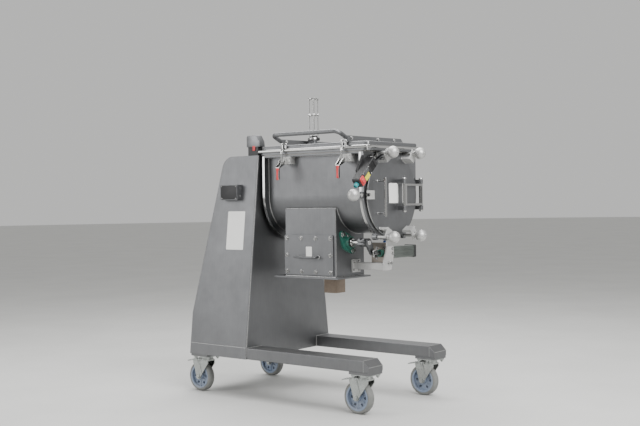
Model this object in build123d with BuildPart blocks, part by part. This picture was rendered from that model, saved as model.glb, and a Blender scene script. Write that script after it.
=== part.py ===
from build123d import *

import os
from math import atan2, cos, degrees, hypot, pi, radians, sin, sqrt, tan

# Ribbon blender on a column stand with casters, millimetres.
# X runs from the column to the door, Y across the trough, Z up from the floor.
# The origin is on the floor under the middle of the machine.

# Fits and small gaps
RUNNING_FIT = 0.08
SEAT_GAP = 0.3
SWING_GAP = 2

# Column: a tapered sheet housing whose front face is upright
COLUMN_FRONT_X = -157
COLUMN_BOTTOM_Z = 197
COLUMN_TOP_Z = 1196
COLUMN_TOP_DEPTH = 232
COLUMN_BOTTOM_DEPTH = 388
COLUMN_BEND_Z = 405
COLUMN_TOP_WIDTH = 436
COLUMN_BOTTOM_WIDTH = 664
COLUMN_WALL = 4
COLUMN_TOP_RADIUS = 65
COLUMN_EDGE_RADIUS = 8
COLUMN_FLOOR_THICKNESS = 6
REAR_PANEL_WIDTH = 320
REAR_PANEL_HEIGHT = 520
REAR_PANEL_THICKNESS = 3
REAR_PANEL_LAP = 18
REAR_PANEL_CENTRE_Z = 760
LOUVRE_LENGTH = 120
LOUVRE_HEIGHT = 8
LOUVRE_PITCH = 22
LOUVRE_COUNT = 6

# Nameplate box on the near side of the column
PLATE_BOX_FROM_FRONT = 98
PLATE_BOX_LENGTH = 115
PLATE_BOX_BOTTOM_Z = 976
PLATE_BOX_HEIGHT = 77
PLATE_BOX_OUTER_Y = -272

# Legs: rectangular tubes with a closed, bevelled end
LEG_WIDTH = 110
LEG_HEIGHT = 55
LEG_WALL = 4
LEG_OUTER_Y = 326
LEG_LENGTH = 734
LEG_BEVEL_LENGTH = 28.5
LEG_BEVEL_DROP = 30
PAD_THICKNESS = 12
PAD_LENGTH = 113
REAR_PAD_INSET = 3

# Casters
WHEEL_RADIUS = 75
WHEEL_WIDTH = 38
TREAD_THICKNESS = 17
HUB_RADIUS = 17
WEB_THICKNESS = 12
WHEEL_HOLE_COUNT = 6
WHEEL_HOLE_RADIUS = 7
AXLE_RADIUS = 6
CASTER_TRAIL = 37
CASTER_HEIGHT = 185
CASTER_PLATE_LENGTH = 105
CASTER_PLATE_WIDTH = 85
CASTER_PLATE_THICKNESS = 5
CASTER_BOLT_RADIUS = 7
RACE_RADIUS = 31
RACE_HEIGHT = 11
FORK_WALL = 5
FORK_SIDE_GAP = 3
FORK_CROWN_Z = 157
FORK_CROWN_THICKNESS = 6
PEDAL_PIVOT_BACK = 66
PEDAL_PIVOT_Z = 160
PEDAL_TIP_BACK = 123
PEDAL_TIP_Z = 150
PEDAL_THICKNESS = 5
PEDAL_PIN_RADIUS = 4

# Trough: U section between two end plates, on the agitator axis
AXIS_Z = 990
SHELL_RADIUS = 183
SHELL_WALL = 4
TROUGH_GAP = 25
END_PLATE_THICKNESS = 12
END_PLATE_RADIUS = 216
TROUGH_LENGTH = 592
RIM_Z = 1190
RIM_LIP_WIDTH = 32
RIM_LIP_THICKNESS = 8

# Lid
LID_GASKET_THICKNESS = 4
GASKET_WIDTH = 14
LID_HALF_WIDTH = 217
LID_REAR_GAP = 2
LID_FRONT_REACH = 30
LID_HEIGHT = 45
LID_SKIRT_HEIGHT = 12
LID_PAN_INSET = 9
LID_WALL = 3
LID_CORNER_RADIUS = 30
LID_BEAD_RADIUS = 7
ARM_OFFSETS = (147, 545)
ARM_THICKNESS = 8
ARM_HEIGHT = 28
ARM_NEAR_Y = -216
HINGE_Y = 242
HINGE_Z = 1214
HINGE_EYE_RADIUS = 14
HINGE_PIN_RADIUS = 5
HINGE_EAR_THICKNESS = 6
HANDLE_TUBE_RADIUS = 10
HANDLE_Y = -280
HANDLE_Z = 1285
HANDLE_BEND_RADIUS = 28
VENT_OFFSET = 178
VENT_STUB_RADIUS = 16
VENT_FERRULE_RADIUS = 22
VENT_STUB_HEIGHT = 50
CAGE_WIRE_RADIUS = 3
CAGE_CIRCLE_RADIUS = 21
CAGE_TOP_Z = 1479
CAGE_MID_Z = 1392
CAGE_RING_THICKNESS = 5

# Toggle latches on the near side
LATCH_OFFSETS = (165, 530)
LATCH_BLOCK_LEFT = 15
LATCH_BLOCK_RIGHT = 42
LATCH_BLOCK_BOTTOM_Z = 1146
LATCH_PLATE_Y = -219
LATCH_PIVOT_Y = -234
LATCH_PIVOT_Z = 1158
LATCH_CHEEK_THICKNESS = 3
LATCH_CHEEK_GAP = 26
LATCH_LEVER_THICKNESS = 4
LATCH_PIN_RADIUS = 3
LATCH_HOOK_RADIUS = 3
LATCH_HOOK_DROP = 12
LATCH_HOOK_TOP_Z = 1243
GRIP_RADIUS = 7
GRIP_BOTTOM_Z = 1070
GRIP_TOP_Z = 1126
GRIP_Y = -262

# Door, its clamps and its double hinge
DOOR_GASKET_THICKNESS = 4
DOOR_RADIUS = 202
DOOR_THICKNESS = 8
DOOR_OPENING_RADIUS = 179
DOOR_HANDLE_Y = -121
DOOR_HANDLE_LENGTH = 180
DOOR_HANDLE_RADIUS = 6.5
DOOR_HANDLE_REACH = 42
DOOR_HANDLE_POST_SPACING = 150
CLAMP_RADIUS = 225
CLAMP_ANGLES = (60, 120, 240, 300)
CLAMP_REACH = 48
CLAMP_PLATE = 6
CLAMP_WIDTH = 40
CLAMP_FOOT_RADIUS = 184
CLAMP_BOLT_RADIUS = 7
CLAMP_BOSS_RADIUS = 15
KNOB_RADIUS = 28
KNOB_FLAT_RADIUS = 20
KNOB_NECK_RADIUS = 13
KNOB_NECK_LENGTH = 14
SWING_BOLT_REACH = 92
SWING_BOLT_REST_ANGLE = 75
SWING_EYE_RADIUS = 11
SWING_EYE_WIDTH = 12
SWING_PIVOT_Y = -229
SMALL_FORK_REACH = 26
LINK_DOOR_PIN_Y = 43
LINK_DOOR_PIN_REACH = 36
LINK_FRAME_PIN_Y = 229
LINK_FRAME_PIN_REACH = 8
LINK_HEIGHT = 104
LINK_THICKNESS = 6
LINK_BAR_HEIGHT = 10
LINK_TUBE_RADIUS = 10
LINK_PIN_RADIUS = 5
KNUCKLE_RADIUS = 13
KNUCKLE_HEIGHT = 20

# Safety switches
DOOR_SWITCH_LENGTH = 165
DOOR_SWITCH_WIDTH = 48
DOOR_SWITCH_DEPTH = 38
LID_SWITCH_LENGTH = 66
LID_SWITCH_WIDTH = 36
LID_SWITCH_HEIGHT = 62

# Discharge valve housing under the trough
HOUSING_START = 138
HOUSING_LENGTH = 314
HOUSING_NEAR_Y = -183
HOUSING_FAR_Y = 40
HOUSING_BOTTOM_Z = 603
HOUSING_TOP_Z = 930
HOUSING_WALL = 4
COVER_LENGTH = 299
COVER_BOTTOM_Z = 610
COVER_HEIGHT = 193
COVER_THICKNESS = 6
COVER_BOLT_RADIUS = 6
COVER_BOLT_INSET = 16
COVER_HANDLE_LENGTH = 127
COVER_HANDLE_Z = 698
COVER_HANDLE_REACH = 36
COVER_HANDLE_RADIUS = 5
OUTLET_PLATE_START = 83
OUTLET_PLATE_LENGTH = 392
OUTLET_PLATE_NEAR_Y = -205
OUTLET_PLATE_FAR_Y = 60
OUTLET_PLATE_THICKNESS = 8
SPOUT_OFFSET = 298
SPOUT_SIDE = 76
SPOUT_WALL = 3
SPOUT_HEIGHT = 82

# Discharge flap, its shaft and the drive
VALVE_Y = -105
VALVE_Z = 767
VALVE_SHAFT_RADIUS = 12.5
VALVE_OPENING_LENGTH = 200
VALVE_OPENING_NEAR_ANGLE = -20
VALVE_OPENING_FAR_ANGLE = 3
FLAP_LAP_ANGLE = 3
FLAP_LAP_LENGTH = 10
FLAP_THICKNESS = 6
FLAP_TRAVEL = 60
FLAP_ARM_THICKNESS = 10
FLAP_HUB_RADIUS = 20
BEARING_LENGTH = 144
BEARING_FLANGE_RADIUS = 17
BEARING_BOSS_RADIUS = 33
BEARING_FLANGE_THICKNESS = 12
BEARING_DEPTH = 32
CRANK_LENGTH = 56
CRANK_HUB_RADIUS = 20
CRANK_HUB_LENGTH = 52
CRANK_THICKNESS = 12
CRANK_PIN_RADIUS = 5
YOKE_THICKNESS = 8
YOKE_GAP = 8
YOKE_SLOT_PLAY = 0.8
CYLINDER_X_OFFSET = 600
CYLINDER_SIDE = 60
CYLINDER_BODY_START_Y = -18
CYLINDER_BODY_END_Y = 228
CYLINDER_CAP_LENGTH = 40
CYLINDER_REAR_CAP_LENGTH = 16
CYLINDER_TUBE_INSET = 2
ROD_RADIUS = 7
GLAND_RADIUS = 18
GLAND_LENGTH = 14
AIR_PORT_RADIUS = 4.9
AIR_PORT_DEPTH = 12
ARM_TUBE_SIDE = 34
ARM_TUBE_Y = -35
ARM_TUBE_Z = 652
BRACKET_PLATE = 10
GUSSET_THICKNESS = 8

# Agitator
SHAFT_RADIUS = 25
SHAFT_FRONT_GAP = 22
SPOKE_RADIUS = 8
RIBBON_CLEARANCE = 5
OUTER_RIBBON_WIDTH = 30
INNER_RIBBON_RADIUS = 96
INNER_RIBBON_WIDTH = 26
RIBBON_THICKNESS = 7
RIBBON_PITCH = 440
RIBBON_END_GAP = 14
SPOKE_STATIONS = 6

# Drive inside the column
NECK_RADIUS = 105
NECK_HOLE_RADIUS = 80
GEARBOX_DEPTH = 126
GEARBOX_WIDTH = 190
GEARBOX_HEIGHT = 200
GEARBOX_SETBACK = 44
MOTOR_RADIUS = 82
MOTOR_LENGTH = 330

# Places worked out from the sizes above
LEG_Y = LEG_OUTER_Y - LEG_WIDTH / 2
FRONT_SWIVEL_X = COLUMN_FRONT_X + LEG_LENGTH - PAD_LENGTH / 2
REAR_SWIVEL_X = COLUMN_FRONT_X - COLUMN_BOTTOM_DEPTH + REAR_PAD_INSET + PAD_LENGTH / 2
CASTERS = {
    "front_near": (FRONT_SWIVEL_X, -LEG_Y),
    "front_far": (FRONT_SWIVEL_X, LEG_Y),
    "rear_near": (REAR_SWIVEL_X, -LEG_Y),
    "rear_far": (REAR_SWIVEL_X, LEG_Y),
}
TROUGH_REAR_X = COLUMN_FRONT_X + TROUGH_GAP
SHELL_START_X = TROUGH_REAR_X + END_PLATE_THICKNESS
SHELL_END_X = SHELL_START_X + TROUGH_LENGTH
FLANGE_FACE_X = SHELL_END_X + END_PLATE_THICKNESS
SHELL_INNER_RADIUS = SHELL_RADIUS - SHELL_WALL
LID_BOTTOM_Z = RIM_Z + LID_GASKET_THICKNESS
LID_TOP_Z = LID_BOTTOM_Z + LID_HEIGHT
LID_START_X = COLUMN_FRONT_X + LID_REAR_GAP
LID_END_X = FLANGE_FACE_X + LID_FRONT_REACH
DOOR_BACK_X = FLANGE_FACE_X + DOOR_GASKET_THICKNESS
DOOR_FACE_X = DOOR_BACK_X + DOOR_THICKNESS
CLAMP_FACE_X = DOOR_FACE_X + CLAMP_REACH
LINK_DOOR_PIN_X = DOOR_FACE_X + LINK_DOOR_PIN_REACH
LINK_FRAME_PIN_X = DOOR_FACE_X + LINK_FRAME_PIN_REACH
HOUSING_START_X = COLUMN_FRONT_X + HOUSING_START
HOUSING_END_X = HOUSING_START_X + HOUSING_LENGTH
SPOUT_X = COLUMN_FRONT_X + SPOUT_OFFSET
CYLINDER_X = COLUMN_FRONT_X + CYLINDER_X_OFFSET
CRANK_REST_ANGLE = FLAP_TRAVEL / 2
CRANK_PIN_Y = VALVE_Y + CRANK_LENGTH * sin(radians(CRANK_REST_ANGLE))
CRANK_PIN_Z = VALVE_Z - CRANK_LENGTH * cos(radians(CRANK_REST_ANGLE))
CYLINDER_Z = VALVE_Z - CRANK_LENGTH * (1 + cos(radians(CRANK_REST_ANGLE))) / 2
YOKE_X = CYLINDER_X - YOKE_THICKNESS / 2
CRANK_END_X = YOKE_X - YOKE_GAP
BRACKET_PLATE_NEAR_Y = CYLINDER_BODY_START_Y - BRACKET_PLATE
GUSSET_X = CYLINDER_X + CYLINDER_SIDE / 2
SPOKE_PITCH = RIBBON_PITCH / 4
RIBBON_RADIUS = SHELL_INNER_RADIUS - RIBBON_CLEARANCE

os.makedirs("parts", exist_ok=True)


def save(builder, label):
    """Label a finished sub-part and write it as a STEP file."""
    builder.part.label = label
    export_step(builder.part, f"parts/{label}.step")


def column_block(inset):
    """Solid outline of the column, with every wall moved inwards by inset and open below."""
    bottom = COLUMN_BOTTOM_Z - 2 * inset
    slope = (COLUMN_BOTTOM_WIDTH - COLUMN_TOP_WIDTH) / 2 / (COLUMN_TOP_Z - COLUMN_BOTTOM_Z)
    bottom_half = COLUMN_BOTTOM_WIDTH / 2 + 2 * inset * slope
    with BuildPart() as block:
        with BuildSketch(Plane.XZ) as side:
            with BuildLine():
                Polyline(
                    (COLUMN_FRONT_X, bottom),
                    (COLUMN_FRONT_X, COLUMN_TOP_Z),
                    (COLUMN_FRONT_X - COLUMN_TOP_DEPTH, COLUMN_TOP_Z),
                    (COLUMN_FRONT_X - COLUMN_BOTTOM_DEPTH, COLUMN_BEND_Z),
                    (COLUMN_FRONT_X - COLUMN_BOTTOM_DEPTH, bottom),
                    close=True,
                )
            make_face()
            rear_top = side.vertices().group_by(Axis.Y)[-1].sort_by(Axis.X)[0]
            fillet(rear_top, COLUMN_TOP_RADIUS)
            if inset:
                offset(amount=-inset, kind=Kind.INTERSECTION)
        extrude(amount=COLUMN_BOTTOM_WIDTH, both=True)
        with BuildSketch(Plane.YZ):
            with BuildLine():
                Polyline(
                    (-bottom_half, bottom),
                    (bottom_half, bottom),
                    (COLUMN_TOP_WIDTH / 2, COLUMN_TOP_Z),
                    (-COLUMN_TOP_WIDTH / 2, COLUMN_TOP_Z),
                    close=True,
                )
            make_face()
            if inset:
                offset(amount=-inset, kind=Kind.INTERSECTION)
        extrude(amount=COLUMN_BOTTOM_DEPTH + abs(COLUMN_FRONT_X) + inset, both=True, mode=Mode.INTERSECT)
        if not inset:
            front = block.faces().sort_by(Axis.X)[-1]
            uprights = front.edges().filter_by(lambda edge: abs((edge @ 1 - edge @ 0).Z) > COLUMN_TOP_DEPTH)
            fillet(uprights, COLUMN_EDGE_RADIUS)
    return block.part


def rear_wall_plane():
    """Plane on the middle of the slanted rear wall, facing outwards."""
    lean = (COLUMN_BOTTOM_DEPTH - COLUMN_TOP_DEPTH) / (COLUMN_TOP_Z - COLUMN_BEND_Z)
    x = COLUMN_FRONT_X - COLUMN_BOTTOM_DEPTH + lean * (REAR_PANEL_CENTRE_Z - COLUMN_BEND_Z)
    return Plane(origin=(x, 0, REAR_PANEL_CENTRE_Z), x_dir=(0, -1, 0), z_dir=(-1, 0, lean))


column_outline = column_block(0)
column_hollow = column_block(COLUMN_WALL)

# Column housing with the shaft hole in front and the service opening behind
with BuildPart() as column_shell:
    add(column_outline)
    add(column_hollow, mode=Mode.SUBTRACT)
    with BuildSketch(Plane.YZ.offset(COLUMN_FRONT_X)):
        with Locations((0, AXIS_Z)):
            Circle(NECK_HOLE_RADIUS)
    extrude(amount=-2 * COLUMN_WALL, mode=Mode.SUBTRACT)
    with BuildSketch(rear_wall_plane()):
        Rectangle(REAR_PANEL_WIDTH - 2 * REAR_PANEL_LAP, REAR_PANEL_HEIGHT - 2 * REAR_PANEL_LAP)
    extrude(amount=2 * COLUMN_WALL, both=True, mode=Mode.SUBTRACT)
save(column_shell, "column_shell")

# Service panel with air louvres for the motor
with BuildPart() as rear_panel:
    with BuildSketch(rear_wall_plane()):
        RectangleRounded(REAR_PANEL_WIDTH, REAR_PANEL_HEIGHT, REAR_PANEL_LAP / 2)
        with Locations((0, -REAR_PANEL_HEIGHT / 4)):
            with GridLocations(LOUVRE_LENGTH * 1.1, LOUVRE_PITCH, 2, LOUVRE_COUNT):
                SlotOverall(LOUVRE_LENGTH, LOUVRE_HEIGHT, mode=Mode.SUBTRACT)
    extrude(amount=REAR_PANEL_THICKNESS)
save(rear_panel, "rear_panel")

# Floor of the column, with the pads of the rear casters under it
with BuildPart() as column_floor:
    add(column_hollow)
    with BuildSketch(Plane.XY.offset(COLUMN_BOTTOM_Z)):
        Rectangle(4 * COLUMN_BOTTOM_DEPTH, COLUMN_BOTTOM_WIDTH)
    extrude(amount=COLUMN_FLOOR_THICKNESS, mode=Mode.INTERSECT)
    with BuildSketch(Plane.XY.offset(COLUMN_BOTTOM_Z)):
        with Locations((REAR_SWIVEL_X, -LEG_Y), (REAR_SWIVEL_X, LEG_Y)):
            Rectangle(PAD_LENGTH, LEG_WIDTH)
    extrude(amount=-PAD_THICKNESS)
save(column_floor, "column_floor")

# Box that carries the blank nameplate, cut to the slope of the column's side
with BuildPart() as nameplate_box:
    box_x = COLUMN_FRONT_X - PLATE_BOX_FROM_FRONT - PLATE_BOX_LENGTH / 2
    with BuildSketch(Plane.XZ.offset(-PLATE_BOX_OUTER_Y)):
        with Locations((box_x, PLATE_BOX_BOTTOM_Z + PLATE_BOX_HEIGHT / 2)):
            RectangleRounded(PLATE_BOX_LENGTH, PLATE_BOX_HEIGHT, COLUMN_WALL)
    extrude(amount=PLATE_BOX_OUTER_Y + COLUMN_TOP_WIDTH / 2)
    add(column_outline, mode=Mode.SUBTRACT)
save(nameplate_box, "nameplate_box")


def make_leg(label, y):
    """One floor leg: a rectangular tube with a bevelled closed end and a caster pad."""
    end_x = COLUMN_FRONT_X + LEG_LENGTH
    with BuildPart() as leg:
        with BuildSketch(Plane.XZ.offset(-y)) as profile:
            with BuildLine():
                Polyline(
                    (COLUMN_FRONT_X, COLUMN_BOTTOM_Z),
                    (end_x, COLUMN_BOTTOM_Z),
                    (end_x, COLUMN_BOTTOM_Z + LEG_HEIGHT - LEG_BEVEL_DROP),
                    (end_x - LEG_BEVEL_LENGTH, COLUMN_BOTTOM_Z + LEG_HEIGHT),
                    (COLUMN_FRONT_X, COLUMN_BOTTOM_Z + LEG_HEIGHT),
                    close=True,
                )
            make_face()
        extrude(amount=LEG_WIDTH / 2, both=True)
        fillet(leg.edges().filter_by(Axis.X), LEG_WALL)
        open_end = leg.faces().sort_by(Axis.X)[0]
        offset(amount=-LEG_WALL + 1, openings=open_end)
        with BuildSketch(Plane.XY.offset(COLUMN_BOTTOM_Z)):
            with Locations((FRONT_SWIVEL_X, y)):
                Rectangle(PAD_LENGTH, LEG_WIDTH - 2 * LEG_WALL)
        extrude(amount=-PAD_THICKNESS)
    save(leg, label)


make_leg("near_leg", -LEG_Y)
make_leg("far_leg", LEG_Y)

# Fixed top plates of the casters, with corner bolts and the upper race
with BuildPart() as caster_plates:
    with Locations(*[(x, y, CASTER_HEIGHT) for x, y in CASTERS.values()]):
        Box(
            CASTER_PLATE_LENGTH,
            CASTER_PLATE_WIDTH,
            CASTER_PLATE_THICKNESS,
            align=(Align.CENTER, Align.CENTER, Align.MAX),
        )
        with Locations((0, 0, -CASTER_PLATE_THICKNESS)):
            Cylinder(RACE_RADIUS, RACE_HEIGHT, align=(Align.CENTER, Align.CENTER, Align.MAX))
            bolt_inset = 2.5 * CASTER_BOLT_RADIUS
            with GridLocations(CASTER_PLATE_LENGTH - bolt_inset, CASTER_PLATE_WIDTH - bolt_inset, 2, 2):
                Cylinder(CASTER_BOLT_RADIUS, CASTER_BOLT_RADIUS, align=(Align.CENTER, Align.CENTER, Align.MAX))
save(caster_plates, "caster_plates")

RACE_BOTTOM_Z = CASTER_HEIGHT - CASTER_PLATE_THICKNESS - RACE_HEIGHT
FORK_INNER_Y = WHEEL_WIDTH / 2 + FORK_SIDE_GAP
FORK_OUTER_Y = FORK_INNER_Y + FORK_WALL


def make_fork(label, x, y):
    """Swivel fork with its race, two side plates, the axle bolt and the pedal's pivot ears."""
    axle_x = x - CASTER_TRAIL
    pivot_x = x - PEDAL_PIVOT_BACK
    crown_top = RACE_BOTTOM_Z - SEAT_GAP
    with BuildPart() as fork:
        with BuildSketch(Plane.XY.offset(FORK_CROWN_Z)):
            with Locations((x, y)):
                Circle(RACE_RADIUS + 3)
        extrude(amount=crown_top - FORK_CROWN_Z)
        for side in (-1, 1):
            start = y + side * (FORK_INNER_Y + FORK_WALL / 2)
            with BuildSketch(Plane.XZ.offset(-start)):
                with BuildLine():
                    Polyline(
                        (x + RACE_RADIUS, FORK_CROWN_Z + FORK_CROWN_THICKNESS),
                        (x + RACE_RADIUS, FORK_CROWN_Z - 2 * FORK_CROWN_THICKNESS),
                        (axle_x + 2 * AXLE_RADIUS, WHEEL_RADIUS - AXLE_RADIUS),
                        (axle_x - 2 * AXLE_RADIUS, WHEEL_RADIUS - AXLE_RADIUS),
                        (pivot_x - 2 * PEDAL_PIN_RADIUS, PEDAL_PIVOT_Z - 2 * PEDAL_PIN_RADIUS),
                        (pivot_x - 2 * PEDAL_PIN_RADIUS, PEDAL_PIVOT_Z + 1.5 * PEDAL_PIN_RADIUS),
                        (pivot_x + 2 * PEDAL_PIN_RADIUS, PEDAL_PIVOT_Z + 2 * PEDAL_PIN_RADIUS),
                        close=True,
                    )
                make_face()
                with Locations((axle_x, WHEEL_RADIUS)):
                    Circle(2.4 * AXLE_RADIUS)
                with Locations((pivot_x, PEDAL_PIVOT_Z)):
                    Circle(PEDAL_PIN_RADIUS + RUNNING_FIT, mode=Mode.SUBTRACT)
            extrude(amount=FORK_WALL / 2, both=True)
        with BuildSketch(Plane.XY.offset(FORK_CROWN_Z)):
            with Locations((x + (RACE_RADIUS - CASTER_TRAIL) / 2, y)):
                Rectangle(RACE_RADIUS + CASTER_TRAIL, 2 * FORK_OUTER_Y)
        extrude(amount=FORK_CROWN_THICKNESS)
        with BuildSketch(Plane.XZ.offset(-y)):
            with Locations((axle_x, WHEEL_RADIUS)):
                Circle(AXLE_RADIUS)
        extrude(amount=FORK_OUTER_Y + AXLE_RADIUS, both=True)
        with BuildSketch(Plane.XZ.offset(-y)):
            with Locations((axle_x, WHEEL_RADIUS)):
                RegularPolygon(1.8 * AXLE_RADIUS, 6)
        extrude(amount=FORK_OUTER_Y + AXLE_RADIUS * 0.8, both=True)
        with BuildSketch(Plane.XZ.offset(-y)):
            with Locations((axle_x, WHEEL_RADIUS)):
                Circle(3 * AXLE_RADIUS)
                Circle(AXLE_RADIUS, mode=Mode.SUBTRACT)
        extrude(amount=FORK_INNER_Y, both=True, mode=Mode.SUBTRACT)
    save(fork, label)


def make_wheel(label, x, y):
    """Wheel with a rounded tread, a thin web with round holes and a hub bored for the axle."""
    axle = Plane(origin=(x - CASTER_TRAIL, y, WHEEL_RADIUS), x_dir=(1, 0, 0), z_dir=(0, -1, 0))
    rim = WHEEL_RADIUS - TREAD_THICKNESS
    half = WHEEL_WIDTH / 2
    with BuildPart() as wheel:
        with BuildSketch(axle):
            Circle(WHEEL_RADIUS)
        extrude(amount=half, both=True)
        tread_edges = wheel.edges().filter_by(GeomType.CIRCLE)
        fillet(tread_edges, half * 0.55)
        with BuildSketch(axle.offset(half), axle.offset(-half)):
            Circle(rim - TREAD_THICKNESS / 3)
            Circle(HUB_RADIUS, mode=Mode.SUBTRACT)
        extrude(amount=-(half - WEB_THICKNESS / 2), mode=Mode.SUBTRACT)
        with BuildSketch(axle):
            Circle(AXLE_RADIUS + RUNNING_FIT)
            with PolarLocations((rim + HUB_RADIUS) / 2, WHEEL_HOLE_COUNT):
                Circle(WHEEL_HOLE_RADIUS)
        extrude(amount=WHEEL_WIDTH, both=True, mode=Mode.SUBTRACT)
    save(wheel, label)


def make_pedal(label, x, y):
    """Brake pedal: a sloping plate on a cross pin between the fork's side plates."""
    pivot_x = x - PEDAL_PIVOT_BACK
    tip_x = x - PEDAL_TIP_BACK
    half = PEDAL_THICKNESS / 2
    with BuildPart() as pedal:
        with BuildSketch(Plane.XZ.offset(-y)):
            with BuildLine():
                Polyline(
                    (pivot_x, PEDAL_PIVOT_Z + half),
                    (tip_x + PEDAL_THICKNESS, PEDAL_TIP_Z + half),
                    (tip_x, PEDAL_TIP_Z - half),
                    (tip_x, PEDAL_TIP_Z - 2 * half),
                    (tip_x + PEDAL_THICKNESS, PEDAL_TIP_Z - half),
                    (pivot_x, PEDAL_PIVOT_Z - half),
                    close=True,
                )
            make_face()
            with Locations((pivot_x, PEDAL_PIVOT_Z)):
                Circle(1.6 * PEDAL_PIN_RADIUS)
        extrude(amount=FORK_INNER_Y - 1, both=True)
        with BuildSketch(Plane.XZ.offset(-y)):
            with Locations((pivot_x, PEDAL_PIVOT_Z)):
                Circle(PEDAL_PIN_RADIUS)
        extrude(amount=FORK_OUTER_Y + 1, both=True)
        tip_edges = pedal.faces().sort_by(Axis.X)[0].edges().filter_by(Axis.Z)
        fillet(tip_edges, PEDAL_THICKNESS)
    save(pedal, label)


for place, (swivel_x, swivel_y) in CASTERS.items():
    make_fork(f"{place}_fork", swivel_x, swivel_y)
    make_wheel(f"{place}_wheel", swivel_x, swivel_y)
    make_pedal(f"{place}_pedal", swivel_x, swivel_y)


def axis_plane(x):
    """Plane across the agitator axis at x, with Y to the right and Z up."""
    return Plane(origin=(x, 0, AXIS_Z), x_dir=(0, 1, 0), z_dir=(1, 0, 0))


def u_profile(radius):
    """Half round below the axis and straight up to the rim above it, in the current sketch."""
    Circle(radius)
    with Locations((0, (RIM_Z - AXIS_Z) / 2)):
        Rectangle(2 * radius, RIM_Z - AXIS_Z)
    with Locations((0, RIM_Z - AXIS_Z)):
        Rectangle(4 * radius, 4 * radius, align=(Align.CENTER, Align.MIN), mode=Mode.SUBTRACT)


def arc_point(radius, angle):
    """Point of the trough's section at an angle from straight down, positive to the far side."""
    return radius * sin(radians(angle)), -radius * cos(radians(angle))


def arc_band(inner, outer, start, end):
    """Curved strip between two radii and two angles from straight down, in the current sketch."""
    middle = (start + end) / 2
    with BuildLine() as band:
        ThreePointArc(arc_point(inner, start), arc_point(inner, middle), arc_point(inner, end))
        Line(arc_point(inner, end), arc_point(outer, end))
        ThreePointArc(arc_point(outer, end), arc_point(outer, middle), arc_point(outer, start))
        Line(arc_point(outer, start), arc_point(inner, start))
    make_face(band.edges())


VALVE_START_X = SPOUT_X - VALVE_OPENING_LENGTH / 2

# Trough shell with its outward rim and the discharge opening
with BuildPart() as trough_shell:
    with BuildSketch(axis_plane(SHELL_START_X)):
        u_profile(SHELL_RADIUS)
        for side in (-1, 1):
            with Locations((side * (SHELL_RADIUS + RIM_LIP_WIDTH / 2), RIM_Z - AXIS_Z - RIM_LIP_THICKNESS / 2)):
                Rectangle(RIM_LIP_WIDTH, RIM_LIP_THICKNESS)
        Circle(SHELL_INNER_RADIUS, mode=Mode.SUBTRACT)
        with Locations((0, (RIM_Z - AXIS_Z) / 2)):
            Rectangle(2 * SHELL_INNER_RADIUS, RIM_Z - AXIS_Z, mode=Mode.SUBTRACT)
    extrude(amount=TROUGH_LENGTH)
    with BuildSketch(axis_plane(VALVE_START_X)):
        arc_band(
            SHELL_INNER_RADIUS - SHELL_WALL,
            SHELL_RADIUS + SHELL_WALL,
            VALVE_OPENING_NEAR_ANGLE,
            VALVE_OPENING_FAR_ANGLE,
        )
    extrude(amount=VALVE_OPENING_LENGTH, mode=Mode.SUBTRACT)
save(trough_shell, "trough_shell")

# Rear end wall, bored for the agitator shaft
with BuildPart() as trough_rear_wall:
    with BuildSketch(axis_plane(TROUGH_REAR_X)):
        u_profile(END_PLATE_RADIUS)
        Circle(SHAFT_RADIUS + SEAT_GAP, mode=Mode.SUBTRACT)
    extrude(amount=END_PLATE_THICKNESS)
save(trough_rear_wall, "trough_rear_wall")


def clamp_plane(angle, radius):
    """Plane on the flange face at a clamp: local X tangential, local Y outwards, local Z to the front."""
    y = radius * cos(radians(angle))
    z = AXIS_Z + radius * sin(radians(angle))
    tangent = (0, sin(radians(angle)), -cos(radians(angle)))
    return Plane(origin=(FLANGE_FACE_X, y, z), x_dir=tangent, z_dir=(1, 0, 0))


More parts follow.
